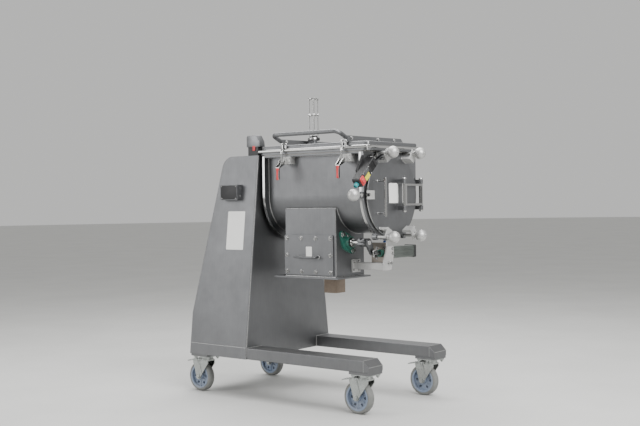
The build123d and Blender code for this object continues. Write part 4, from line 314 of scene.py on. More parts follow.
def blasted_sheet_effect():
    """Bead-blasted or ground metal: slow clouds, faint streaks and a fine grain."""
    inputs = [
        ("Vector", "Vector", None),
        ("Color", "Color", (0.5, 0.5, 0.5, 1)),
        ("Cloud Color", "Color", (0.4, 0.4, 0.4, 1)),
        ("Cloud Scale", "Float", 5.0),
        ("Cloud Amount", "Float", 0.5),
        ("Grain Scale", "Float", 900.0),
        ("Streak Stretch", "Vector", (1, 1, 0.08)),
        ("Streak Amount", "Float", 0.3),
        ("Roughness", "Float", 0.4),
        ("Roughness Spread", "Float", 0.1),
    ]
    outputs = [("Color", "Color"), ("Roughness", "Float"), ("Height", "Float")]
    wiring, taken, given = effect("blasted_sheet", inputs, outputs)
    vector = taken["Vector"]
    cloud = wiring.noise(vector, taken["Cloud Scale"], 4.0, 0.6)
    blotch = wiring.noise(vector, wiring.math("MULTIPLY", taken["Cloud Scale"], 6.5), 3.0, 0.5)
    drawn = wiring.add("VectorMath", {0: vector, 1: taken["Streak Stretch"]}, operation="MULTIPLY")
    streak = wiring.noise(drawn.outputs[0], wiring.math("MULTIPLY", taken["Grain Scale"], 0.2), 4.0, 0.65)
    grain = wiring.noise(vector, taken["Grain Scale"], 2.0, 0.5)
    both = wiring.math("ADD", wiring.math("MULTIPLY", cloud, 0.7), wiring.math("MULTIPLY", blotch, 0.3))
    clouds = wiring.math("MULTIPLY", wiring.range(both, 0.36, 0.64), taken["Cloud Amount"])
    streaks = wiring.math("MULTIPLY", wiring.range(streak, 0.35, 0.7), taken["Streak Amount"])
    share = wiring.math("ADD", clouds, streaks, clamp=True)
    colour = wiring.mix(share, taken["Color"], taken["Cloud Color"])
    swing = wiring.math("SUBTRACT", wiring.math("ADD", share, wiring.range(grain, 0.3, 0.7)), 0.9)
    swing = wiring.math("MULTIPLY", swing, taken["Roughness Spread"])
    rough = wiring.math("ADD", taken["Roughness"], swing, clamp=True)
    height = wiring.math("ADD", grain, wiring.math("MULTIPLY", streak, taken["Streak Amount"]))
    return wiring.give(given, Color=colour, Roughness=rough, Height=height)


def edge_wear_effect():
    """Mask that is high on worn edges, and the normal of slightly rounded edges."""
    inputs = [
        ("Vector", "Vector", None),
        ("Radius", "Float", 0.0015),
        ("Amount", "Float", 0.6),
        ("Break Scale", "Float", 60.0),
    ]
    outputs = [("Mask", "Float"), ("Normal", "Vector")]
    wiring, taken, given = effect("edge_wear", inputs, outputs)
    bevel = wiring.add("Bevel", {"Radius": taken["Radius"]}, samples=6)
    true = wiring.add("NewGeometry").outputs["Normal"]
    alike = wiring.add("VectorMath", {0: bevel.outputs["Normal"], 1: true}, operation="DOT_PRODUCT")
    edge = wiring.range(alike.outputs["Value"], 0.99, 0.82)
    patch = wiring.range(wiring.noise(taken["Vector"], taken["Break Scale"], 4.0, 0.6), 0.35, 0.6)
    broken = wiring.math("MULTIPLY", edge, patch)
    mask = wiring.math("MULTIPLY", broken, taken["Amount"], clamp=True)
    return wiring.give(given, Mask=mask, Normal=bevel.outputs["Normal"])


def settled_dust_effect():
    """Mask of the thin dust and marks that gather on upper faces and low down."""
    inputs = [
        ("Vector", "Vector", None),
        ("Amount", "Float", 0.2),
        ("Scale", "Float", 14.0),
        ("Floor Height", "Float", 0.35),
    ]
    wiring, taken, given = effect("settled_dust", inputs, [("Mask", "Float")])
    geometry = wiring.add("NewGeometry")
    facing = wiring.add("SeparateXYZ", {0: geometry.outputs["Normal"]}).outputs["Z"]
    height = wiring.add("SeparateXYZ", {0: geometry.outputs["Position"]}).outputs["Z"]
    top = wiring.range(facing, 0.5, 1.0)
    low = wiring.range(height, taken["Floor Height"], 0.0)
    above, below = wiring.math("MULTIPLY", top, 0.7), wiring.math("MULTIPLY", low, 0.6)
    spread = wiring.math("ADD", above, below, clamp=True)
    patch = wiring.range(wiring.noise(taken["Vector"], taken["Scale"], 5.0, 0.65), 0.3, 0.75)
    mask = wiring.math("MULTIPLY", wiring.math("MULTIPLY", spread, patch), taken["Amount"], clamp=True)
    return wiring.give(given, Mask=mask)


# Depth of the surface grain in metres, roughness of a coat and what full dust adds to a roughness
GRAIN_DEPTH = 0.0004
COAT_ROUGHNESS = 0.15
DUST_ROUGHNESS = 0.35

# Effects and finishes built so far, by name
EFFECTS = {}
MADE = {}


def shared_effects():
    """Build the shared node groups once."""
    if not EFFECTS:
        EFFECTS["sheet"] = blasted_sheet_effect()
        EFFECTS["wear"] = edge_wear_effect()
        EFFECTS["dust"] = settled_dust_effect()
    return EFFECTS


# Values of a finish where its own row says nothing else
COMMON_LOOK = dict(
    metallic=0.0, rough=0.5, spread=0.12, clouds=0.5, grain=900, streak=(1, 1, 1), streaks=0.1, wear=0.5,
    wear_tint=1.5, edge=0.001, dust=0.1, bump=0.08, coat=0.0,
)

# Finishes: colour, tint of the clouds, metal share, roughness and the scales of the surface
FINISHES = {
    "satin_sheet": dict(
        colour="sheet", shade=0.8, cloud=3.2, metallic=1.0, rough=0.48, clouds=0.55, grain=1400,
        streak=(0.5, 0.5, 0.04), streaks=0.22, wear_tint=1.45, edge=0.0018, dust=0.22, bump=0.05,
    ),
    "brushed_plate": dict(
        colour="sheet", shade=0.84, cloud=6.0, metallic=1.0, rough=0.36, clouds=0.4, grain=1100,
        streak=(1, 0.05, 1), streaks=0.4, wear=0.6, edge=0.0014, dust=0.12, bump=0.06,
    ),
    "bright_steel": dict(
        colour="bright", shade=0.82, cloud=14.0, metallic=1.0, rough=0.16, spread=0.1, clouds=0.35,
        streak=(1, 1, 0.1), streaks=0.15, wear=0.3, wear_tint=1.15, edge=0.0008, dust=0.06, bump=0.02,
    ),
    "knob_steel": dict(
        colour="knob", shade=0.88, cloud=18.0, metallic=0.85, spread=0.1, clouds=0.35, grain=1600,
        streak=(0.2, 1, 1), streaks=0.2, wear=0.4, wear_tint=1.2, dust=0.08, bump=0.04,
    ),
    "weld_steel": dict(
        colour="bright", shade=0.7, cloud=40.0, metallic=1.0, rough=0.3, spread=0.15, clouds=0.6,
        grain=500, streaks=0.2, wear=0.2, wear_tint=1.2, edge=0.0006, bump=0.25,
    ),
    "zinc_plate": dict(
        colour="zinc", shade=0.72, cloud=30.0, metallic=1.0, rough=0.26, spread=0.16, clouds=0.6,
        grain=800, wear_tint=1.25, dust=0.4, bump=0.05,
    ),
    "green_casting": dict(
        colour="bearing", shade=0.6, cloud=40.0, rough=0.36, spread=0.15, clouds=0.6, grain=260,
        streaks=0.2, wear=0.55, wear_tint=2.6, edge=0.0012, dust=0.2, bump=0.35, coat=0.3,
    ),
    "cylinder_metal": dict(
        colour="cylinder", shade=0.78, cloud=16.0, metallic=0.6, rough=0.45, clouds=0.4, grain=1200,
        streak=(1, 0.05, 1), streaks=0.4, wear=0.4, dust=0.12, bump=0.05,
    ),
    # Plate in front of the cylinder: its brown tint is a painted reflection of brown surroundings on dull
    # stainless steel
    "bracket_plate": dict(
        colour="bracket", shade=0.72, cloud=20.0, metallic=0.9, rough=0.42, spread=0.15, clouds=0.7,
        streak=(1, 1, 0.2), streaks=0.3, wear_tint=1.4, dust=0.15,
    ),
    "motor_paint": dict(
        colour="motor", shade=0.7, cloud=20.0, metallic=0.1, rough=0.45, grain=400, streaks=0.2,
        wear_tint=1.8, edge=0.0015, dust=0.4, bump=0.2, coat=0.15,
    ),
    "wheel_core": dict(
        colour="wheel", shade=0.78, cloud=26.0, rough=0.48, grain=700, wear=0.35, wear_tint=1.3, dust=0.7,
        bump=0.1,
    ),
    "wheel_tread": dict(
        colour="tread", shade=0.72, cloud=34.0, rough=0.72, clouds=0.7, grain=500, streak=(0.3, 1, 0.3),
        streaks=0.3, wear=0.3, wear_tint=1.15, edge=0.0015, dust=0.25, bump=0.25,
    ),
    "seal_rubber": dict(
        colour="seal", shade=0.85, cloud=20.0, rough=0.62, spread=0.1, clouds=0.4, grain=700, wear=0.1,
        wear_tint=1.1, edge=0.0008, bump=0.12,
    ),
    "grip_red": dict(
        colour="grip", shade=0.74, cloud=60.0, rough=0.42, streak=(1, 1, 0.3), streaks=0.2, wear=0.3,
        wear_tint=1.35, dust=0.15, bump=0.15, coat=0.1,
    ),
    "black_plastic": dict(
        colour="black", shade=1.0, cloud=40.0, grain=1400, wear=0.35, wear_tint=3.0, edge=0.0007,
        dust=0.03, bump=0.18,
    ),
    "cast_bracket": dict(
        colour="knob", shade=0.52, cloud=18.0, metallic=0.35, clouds=0.4, grain=1200, streak=(1, 1, 0.2),
        streaks=0.25, wear_tint=1.25,
    ),
    "black_plate": dict(
        colour="black", shade=1.6, cloud=30.0, rough=0.55, spread=0.1, streak=(1, 1, 0.1), streaks=0.3,
        wear=0.7, wear_tint=5.0, edge=0.0006, dust=0.12, bump=0.04,
    ),
    "white_label": dict(
        colour="label", shade=0.93, cloud=22.0, rough=0.45, spread=0.08, wear=0.0, wear_tint=1.0,
        edge=0.0003, dust=0.12, bump=0.03,
    ),
    "yellow_label": dict(
        colour="signal", shade=0.88, cloud=60.0, rough=0.4, spread=0.08, wear=0.2, wear_tint=1.1,
        edge=0.0003, bump=0.03,
    ),
    "blue_plastic": dict(
        colour="fitting", shade=0.75, cloud=60.0, rough=0.35, spread=0.1, grain=1200, wear=0.3,
        wear_tint=1.6, edge=0.0006,
    ),
    "teal_plastic": dict(
        colour="gland", shade=0.7, cloud=60.0, rough=0.38, spread=0.1, grain=1200, wear=0.3, wear_tint=1.6,
        edge=0.0006,
    ),
    # Spout: its brown tint is a painted reflection of brown surroundings on dull stainless sheet
    "spout_sheet": dict(
        colour="spout", shade=0.72, cloud=18.0, rough=0.55, clouds=0.7, grain=600, streak=(0.3, 0.3, 1),
        streaks=0.35, wear=0.4, wear_tint=1.35, bump=0.15,
    ),
}


def tinted(colour, factor):
    """Colour with its light scaled by factor, kept in range."""
    return tuple(min(channel * factor, 0.95) for channel in colour[:3]) + (1,)


def bare_material(name):
    """New material without nodes, and its wiring."""
    made = bpy.data.materials.new(name)
    made.use_nodes = True
    made.node_tree.nodes.clear()
    return made, Wiring(made.node_tree)


def material(name):
    """The finish of that name, built on its first use."""
    if name in MADE:
        return MADE[name]
    look = COMMON_LOOK | FINISHES[name]
    effects = shared_effects()
    colours = bpy.context.scene.blender_colours
    made, wiring = bare_material(f"{name}_finish")
    MADE[name] = made
    base = tuple(getattr(colours, look["colour"])) + (1,)
    vector = wiring.add("TexCoord").outputs["Object"]
    values = {
        "Vector": vector,
        "Color": base,
        "Cloud Color": tinted(base, look["shade"]),
        "Cloud Scale": look["cloud"],
        "Cloud Amount": look["clouds"],
        "Grain Scale": look["grain"],
        "Streak Stretch": look["streak"],
        "Streak Amount": look["streaks"],
        "Roughness": look["rough"],
        "Roughness Spread": look["spread"],
    }
    sheet = wiring.add("Group", values, node_tree=effects["sheet"])
    wear_values = {"Vector": vector, "Radius": look["edge"], "Amount": look["wear"]}
    wear = wiring.add("Group", wear_values, node_tree=effects["wear"])
    dust = wiring.add("Group", {"Vector": vector, "Amount": look["dust"]}, node_tree=effects["dust"])
    worn = wiring.mix(wear.outputs["Mask"], sheet.outputs["Color"], tinted(base, look["wear_tint"]))
    dusty = wiring.mix(dust.outputs["Mask"], worn, tuple(colours.dust) + (1,))
    dusty_rough = wiring.math("MULTIPLY", dust.outputs["Mask"], DUST_ROUGHNESS)
    rough = wiring.math("ADD", sheet.outputs["Roughness"], dusty_rough, clamp=True)
    relief = {"Strength": look["bump"], "Distance": GRAIN_DEPTH, "Height": sheet.outputs["Height"]}
    bump = wiring.add("Bump", relief | {"Normal": wear.outputs["Normal"]})
    wiring.surface({
        "Base Color": dusty,
        "Roughness": rough,
        "Normal": bump.outputs["Normal"],
        "Metallic": look["metallic"],
        "Coat Weight": look["coat"],
        "Coat Roughness": COAT_ROUGHNESS,
    })
    return made


# Sizes and colours that a user would change


def colour_property(name, description, default):
    """Linear colour that a user can change."""
    return FloatVectorProperty(
        name=name, description=description, default=default, subtype="COLOR", min=0.0, max=1.0, size=3
    )


def length_property(name, description, default):
    """Length in metres that a user can change."""
    return FloatProperty(
        name=name, description=description, default=default, unit="LENGTH", min=0.0, precision=4
    )


class BlenderColours(bpy.types.PropertyGroup):
    """Colours of the machine's finishes"""

    sheet: colour_property(
        "Satin sheet", "Bead-blasted stainless steel of the column, trough and lid", (0.185, 0.188, 0.194)
    )
    bright: colour_property("Bright steel", "Polished handles, rims and bolts", (0.46, 0.46, 0.455))
    knob: colour_property("Knobs", "Fine satin steel of the clamp knobs", (0.52, 0.52, 0.51))
    zinc: colour_property("Zinc plate", "Plated caster forks and plates", (0.40, 0.42, 0.41))
    bearing: colour_property("Bearing paint", "Green paint of the flange bearings", (0.018, 0.13, 0.095))
    cylinder: colour_property("Cylinder", "Anodised tube of the air cylinder", (0.11, 0.125, 0.115))
    # The bracket's brown is a painted reflection of brown surroundings on bare stainless steel
    bracket: colour_property("Bracket", "Plate that carries the air cylinder", (0.30, 0.27, 0.24))
    motor: colour_property("Motor paint", "Paint of the gear motor in the column", (0.10, 0.13, 0.17))
    wheel: colour_property("Wheel core", "Blue-grey core of the caster wheels", (0.19, 0.25, 0.36))
    tread: colour_property("Wheel tread", "Pale grey rubber of the treads", (0.20, 0.205, 0.198))
    seal: colour_property("Seals", "Pale rubber of the lid and door seals", (0.62, 0.61, 0.57))
    grip: colour_property("Latch grips", "Red sleeves of the latch levers", (0.62, 0.045, 0.05))
    black: colour_property("Black parts", "Switch housings, plates and caps", (0.012, 0.012, 0.013))
    label: colour_property("Label plates", "Bare white plates in place of labels", (0.84, 0.84, 0.82))
    signal: colour_property("Signal yellow", "Bare yellow plate on the door switch", (0.62, 0.58, 0.03))
    fitting: colour_property("Air fitting", "Blue push-in air fitting", (0.02, 0.10, 0.36))
    gland: colour_property("Cable gland", "Teal gland of the door switch", (0.02, 0.26, 0.28))
    # The spout's brown is a painted reflection of brown surroundings on dull stainless sheet
    spout: colour_property("Spout", "Brownish sheet of the discharge spout", (0.25, 0.19, 0.14))
    dust: colour_property("Dust", "Thin dust on upper faces", (0.42, 0.40, 0.37))


class DetailSizes(bpy.types.PropertyGroup):
    """Sizes of the small parts that dress the machine"""

    weld_radius: length_property("Weld radius", "Half width of a ground weld bead", 0.0018)
    label_thickness: length_property("Label thickness", "Thickness of the bare label plates", 0.0006)
    panel_screw_radius: length_property("Panel screw radius", "Head radius of the small domed screws", 0.0045)
    rim_band_thickness: length_property("Rim band thickness", "How far the polished rims stand proud", 0.0006)
    cover_bolt_radius: length_property(
        "Cover bolt radius", "Corner radius of the valve cover's bolt heads", 0.0078
    )
    caster_nut_radius: length_property(
        "Caster nut radius", "Corner radius of the caster plates' nuts", 0.0088
    )


class StageSettings(bpy.types.PropertyGroup):
    """Floor, lights and camera"""

    floor: colour_property("Floor", "Pale floor", (0.60, 0.60, 0.585))
    backdrop: colour_property("Backdrop", "Pale studio surround", (0.66, 0.66, 0.65))
    surround: FloatProperty(
        name="Surround", description="Strength of the studio surround", default=0.95, min=0.0
    )
    key_power: FloatProperty(
        name="Key light", description="Power of the large key light", default=240.0, unit="POWER"
    )
    lens: FloatProperty(name="Lens", description="Focal length of the camera", default=56.6, unit="CAMERA")


def details():
    """Sizes of the fixings and welds."""
    return bpy.context.scene.blender_details


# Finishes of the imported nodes
NODE_FINISHES = {
    "satin_sheet": [
        "column_shell", "rear_panel", "column_floor", "near_leg", "far_leg", "trough_shell", "valve_housing",
        "lid_panel", "door_plate", "valve_cover", "outlet", "nameplate_box", "lid_handle",
    ],
    "brushed_plate": [
        "trough_rear_wall", "front_flange", "lid_arms", "lid_hinge_brackets", "shaft_bearing", "valve_flap",
        "valve_crank", "outer_ribbon", "inner_ribbon", "ribbon_spokes",
    ],
    "bright_steel": [
        "door_handle", "door_link", "vent_cage", "rear_latch_hook", "rear_latch_lever",
        "front_latch_hook", "front_latch_lever", "cover_bolts", "rod_yoke", "valve_shaft", "agitator_shaft",
    ],
    "knob_steel": ["door_screw_1", "door_screw_2", "door_screw_3", "door_screw_4", "swing_bolt"],
    "cast_bracket": ["latch_bases", "door_clamps", "actuator_bracket"],
    "zinc_plate": ["caster_plates"] + [f"{place}_{part}" for place in CASTERS for part in ("fork", "pedal")],
    "wheel_core": [f"{place}_wheel" for place in CASTERS],
    "seal_rubber": ["gaskets"],
    "green_casting": ["valve_bearings"],
    "motor_paint": ["gearmotor"],
    "cylinder_metal": ["air_cylinder"],
    "black_plastic": ["safety_switches"],
}


class BLENDER_OT_finish_nodes(bpy.types.Operator):
    """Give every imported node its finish"""

    bl_idname = "ribbon_blender.finish_nodes"
    bl_label = "Finish the packed nodes"

    def execute(self, context):
        missing = sorted(set(NODES).difference(*NODE_FINISHES.values()))
        if missing:
            raise RuntimeError(f"nodes without a finish: {missing}")
        for finish, names in NODE_FINISHES.items():
            for name in names:
                materials = NODES[name].data.materials
                materials.clear()
                materials.append(material(finish))
        return {"FINISHED"}


# Heights and half widths of the column's front, in millimetres
COLUMN_TOP, COLUMN_FOOT = 1196, 197
TOP_HALF_WIDTH, FOOT_HALF_WIDTH = 218, 332
COLUMN_SLOPE = (FOOT_HALF_WIDTH - TOP_HALF_WIDTH) / (COLUMN_TOP - COLUMN_FOOT)


def column_side(x, z, near=True, proud=0.0):
    """Point on the column's sloping side, in millimetres as in spot."""
    y = TOP_HALF_WIDTH + (COLUMN_TOP - z) * COLUMN_SLOPE + proud
    return spot(x, -y if near else y, z)


class BLENDER_OT_dress_column(bpy.types.Operator):
    """Add the column's ground welds, bare nameplate, bare label plate and panel screws"""

    bl_idname = "ribbon_blender.dress_column"
    bl_label = "Dress the column"

    def execute(self, context):
        sizes = details()
        self.welds(sizes.weld_radius)
        self.nameplate()
        self.label(sizes.label_thickness)
        self.panel_screws(sizes.panel_screw_radius)
        return {"FINISHED"}

    def welds(self, weld):
        """Ground seams down the front corners, along the skirt, round the leg tips and at the leg roots."""
        seams = Form()
        for near in (True, False):
            sign = -1 if near else 1
            corner = [column_side(-2.5, z, near, -2.5) for z in (199, 500, 900, 1194)]
            seams.tube(corner, weld, 10)
            seams.tube([column_side(x, 252, near, -0.6) for x in (-386, -200, -6)], weld * 0.6, 8)
            leg_low, leg_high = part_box("near_leg" if near else "far_leg")
            y_low, y_high = leg_low.y + 0.004, leg_high.y - 0.004
            top, tip, back = leg_high.z, leg_high.x, leg_high.x - 0.0285
            seams.tube([(back, y_low, top - 0.0003), (back, y_high, top - 0.0003)], weld * 0.7, 8)
            seams.tube([(tip - 0.0003, y_low, top - 0.03), (tip - 0.0003, y_high, top - 0.03)], weld * 0.7, 8)
            for y in (y_low - 0.0035, y_high + 0.0035):
                seams.tube([(back, y, top - 0.004), (back, y, leg_low.z + 0.016)], weld * 0.6, 8)
            inner, root = leg_high.y if near else leg_low.y, FRONT + 0.001
            foot, end = (root, inner, leg_low.z + 0.014), (root, sign * 0.322, top + 0.0004)
            seams.tube([foot, (root, inner, top), end], weld, 10)
        seams.finish("column_welds", "frame", "weld_steel", "column_sheet")

    def nameplate(self):
        """Bare black plate and its rivets on the nameplate box."""
        low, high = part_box("nameplate_box")
        centre = middle("nameplate_box")
        margin = 0.007
        place = pose((centre.x, low.y, centre.z), (0, -1, 0))
        plate = Form()
        plate.slab(place, rounded(high.z - low.z - margin, high.x - low.x - margin, 0.003), 0.0014, 0.0004)
        plate.finish("bare_nameplate", "frame", "black_plate")
        rivets = Form()
        half = high - centre - Vector((0.009, 0, 0.009))
        for dx in SIDES:
            for dz in SIDES:
                point = (centre.x + dx * half.x, low.y - 0.0013, centre.z + dz * half.z)
                rivets.screw(point, (0, -1, 0), 0.0026)
        for z in SIDES:
            rivets.screw((high.x, centre.y + 0.004, centre.z + z * 0.02), (1, 0, 0), 0.003)
        rivets.finish("nameplate_rivets", "frame", "bright_steel")

    def label(self, thickness):
        """Bare white plate on the near side."""
        centre = column_side(-122.5, 824)
        out = Vector((0, -1, COLUMN_SLOPE)).normalized()
        label = Form()
        label.slab(pose(centre, out), rounded(0.192, 0.115, 0.004), thickness, 0.0002, 1)
        label.finish("bare_label_plate", "frame", "white_label")

    def panel_screws(self, radius):
        """Screws down both edges of the leaning rear panel."""
        screws = Form()
        low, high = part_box("rear_panel")
        lean = (high.x - low.x) / (high.z - low.z)
        out = Vector((-1, 0, lean)).normalized()
        for share in (0.03, 0.27, 0.5, 0.73, 0.97):
            z = low.z + share * (high.z - low.z)
            for y in (-0.151, 0.151):
                screws.screw((low.x + (z - low.z) * lean, y, z), out, radius)
        screws.finish("rear_panel_screws", "frame", "bright_steel")


# Caster: trail from axle to swivel, thickness of the top plate and half the pitch of its holes
SWIVEL_TRAIL = 0.037
PLATE_THICKNESS = 0.005
HOLE_ALONG, HOLE_ACROSS = 0.04375, 0.03375


class BLENDER_OT_dress_casters(bpy.types.Operator):
    """Add treads, hub caps, plate nuts, fork washers and brake parts to the casters"""

    bl_idname = "ribbon_blender.dress_casters"
    bl_label = "Dress the casters"

    def execute(self, context):
        radius = details().caster_nut_radius
        nuts = Form()
        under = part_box("caster_plates")[1].z - PLATE_THICKNESS
        for place in CASTERS:
            centre = middle(f"{place}_wheel")
            swivel = Vector((centre.x + SWIVEL_TRAIL, centre.y, 0))
            for dx in (-HOLE_ALONG, HOLE_ALONG):
                for dy in (-HOLE_ACROSS, HOLE_ACROSS):
                    head = Vector((swivel.x + dx, swivel.y + dy, under))
                    nuts.bolt(head, (0, 0, -1), radius, 0.0085, up=(1, 0, 0))
                    tip = pose(head - Vector((0, 0, 0.009)), (0, 0, -1))
                    nuts.lathe(tip, [(0.0042, 0), (0.0042, 0.004), (0.0034, 0.005), (0, 0.005)], 16)
            self.tread(place, centre)
            self.hub(place, centre)
            self.fork(place, centre, swivel)
        nuts.finish("caster_nuts", "frame", "zinc_plate", "zinc_plate")
        return {"FINISHED"}

    def tread(self, place, centre):
        """Crowned rubber tyre with a shoulder groove, over the wheel's outer part."""
        rubber = Form()
        half, outer, inner = 0.0193, 0.0752, 0.0605
        section = [(inner, -half + 0.0005), (inner + 0.002, -half - 0.0006), (outer - 0.009, -half - 0.0004)]
        section += [(outer - 0.0075, -half + 0.0006), (outer - 0.0066, -half + 0.0003)]
        section += [(outer - 0.003, -half + 0.003), (outer - 0.0006, -half + 0.0065)]
        section += [(outer, -half + 0.010), (outer, 0)]
        mirrored = [(radius, -height) for radius, height in reversed(section[:-1])]
        rubber.lathe(pose(centre, (0, 1, 0)), section + mirrored, 72, closed=True)
        rubber.finish(f"{place}_tyre", f"{place}_wheel", "wheel_tread", "wheel_tread")

    def hub(self, place, centre):
        """Raised ring, six ribs and a bearing cover on both sides of the wheel."""
        core = Form()
        for side in SIDES:
            face = pose(centre, (0, side, 0))
            ring = [(0.0575, 0.0172), (0.0605, 0.0196), (0.0585, 0.0202), (0.0548, 0.0196), (0.053, 0.0165)]
            core.lathe(face, ring, 64, closed=True)
            for step in range(6):
                angle = radians(60 * step + 30)
                root = Vector((cos(angle), 0, sin(angle)))
                start = centre + root * 0.019 + Vector((0, side * 0.0068, 0))
                end = centre + root * 0.0515 + Vector((0, side * 0.0066, 0))
                core.tube([start, (start + end) / 2, end], 0.0024, 8)
        core.finish(f"{place}_core_rings", f"{place}_wheel", "wheel_core", "wheel_tread")
        caps = Form()
        for side in SIDES:
            face = pose(centre, (0, side, 0))
            cap = [(0.0072, 0.019), (0.0072, 0.0212), (0.012, 0.0212), (0.0155, 0.020), (0.0158, 0.0186)]
            caps.lathe(face, cap, 36, closed=True)
        caps.finish(f"{place}_bearing_caps", f"{place}_wheel", "zinc_plate", "zinc_plate")

    def fork(self, place, centre, swivel):
        """Axle nuts, brake pivots and straps, the race's seam, the brake's shoe and the pedal's ribs."""
        parts = Form()
        for side in SIDES:
            parts.bolt(centre + Vector((0, side * 0.027, 0)), (0, side, 0), 0.0098, 0.0068, up=(1, 0, 0))
            pivot = Vector((swivel.x - 0.066, centre.y + side * 0.0268, 0.160))
            cap = [(0.0065, 0), (0.0065, 0.0012), (0.004, 0.003), (0, 0.0032)]
            parts.lathe(pose(pivot, (0, side, 0)), cap, 20)
            strap = [(-0.05, -0.008), (-0.05, 0.008), (0.034, 0.0055), (0.034, -0.0055)]
            spine = pose((centre.x + 0.012, centre.y + side * 0.0269, 0.12), (0, side, 0), up=(0.28, 0, -1))
            parts.slab(spine, strap, 0.0016, 0.0007)
        race = pose((swivel.x, swivel.y, 0.1572), (0, 0, 1))
        groove = [(0.0342, 0.002), (0.0352, 0.003), (0.0352, 0.0075), (0.0342, 0.0085), (0.0335, 0.005)]
        parts.lathe(race, groove, 48, closed=True)
        parts.finish(f"{place}_fork_fittings", f"{place}_fork", "zinc_plate", "zinc_plate")
        shoe = Form()
        course = [(-0.060, 0.1525), (-0.048, 0.1535), (-0.034, 0.1528), (-0.026, 0.1515)]
        flat = [(x, -z) for x, z in course] + [(x, -z - 0.0035) for x, z in reversed(course)]
        shoe.slab(pose((swivel.x, centre.y - 0.013, 0), (0, 1, 0), up=(1, 0, 0)), flat, 0.026, 0.0008)
        shoe.finish(f"{place}_brake_shoe", f"{place}_fork", "zinc_plate", "zinc_plate")
        grip = Form()
        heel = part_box(f"{place}_pedal")[0].x + 0.008
        for step in range(4):
            x = heel + step * 0.006
            z = 0.1528 + step * 0.00105
            grip.tube([(x, centre.y - 0.015, z), (x, centre.y + 0.015, z)], 0.0011, 8)
        grip.finish(f"{place}_pedal_ribs", f"{place}_pedal", "zinc_plate", "zinc_plate")


class BLENDER_OT_dress_trough(bpy.types.Operator):
    """Add the trough's polished rims, ground welds and bolted neck ring"""

    bl_idname = "ribbon_blender.dress_trough"
    bl_label = "Dress the trough"

    def execute(self, context):
        thickness = details().rim_band_thickness
        rim_radius, rim_top, shell_top, overlap = 0.216, 1.188, 1.180, 0.0003
        bands = Form()
        for node in ("trough_rear_wall", "front_flange"):
            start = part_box(node)[0].x
            points, ways = trough_course(rim_radius, rim_top)
            bands.strip(points, ways, start - overlap, start + FLANGE_THICKNESS + overlap, thickness)
        bands.finish("trough_rim_bands", "frame", "bright_steel", "bright_steel")
        welds = Form()
        shell_low, shell_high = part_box("trough_shell")
        for x in (shell_low.x + 0.0008, shell_high.x - 0.0008):
            points, ways = trough_course(TROUGH_RADIUS, shell_top)
            welds.tube([point + Vector((x, 0, 0)) for point in points], 0.0026, 8)
        edge = shell_top + 0.0015
        for y in (-TROUGH_RADIUS, TROUGH_RADIUS):
            welds.tube([(shell_low.x, y, edge), (shell_high.x, y, edge)], 0.002, 8)
        welds.finish("trough_welds", "frame", "weld_steel", "satin_steel")
        neck = Form()
        place = pose((FRONT, 0, AXIS_Z), (1, 0, 0))
        neck.lathe(place, [(0.105, 0.001), (0.113, 0.001), (0.113, 0.009), (0.1055, 0.011)], 64, closed=True)
        bolt_circle = 0.109
        for step in range(8):
            angle = radians(45 * step + 22.5)
            head = (FRONT + 0.009, bolt_circle * cos(angle), AXIS_Z + bolt_circle * sin(angle))
            neck.bolt(head, (1, 0, 0), 0.0052, 0.006, washer=False)
        neck.finish("neck_ring", "frame", "brushed_plate", "satin_steel")
        return {"FINISHED"}


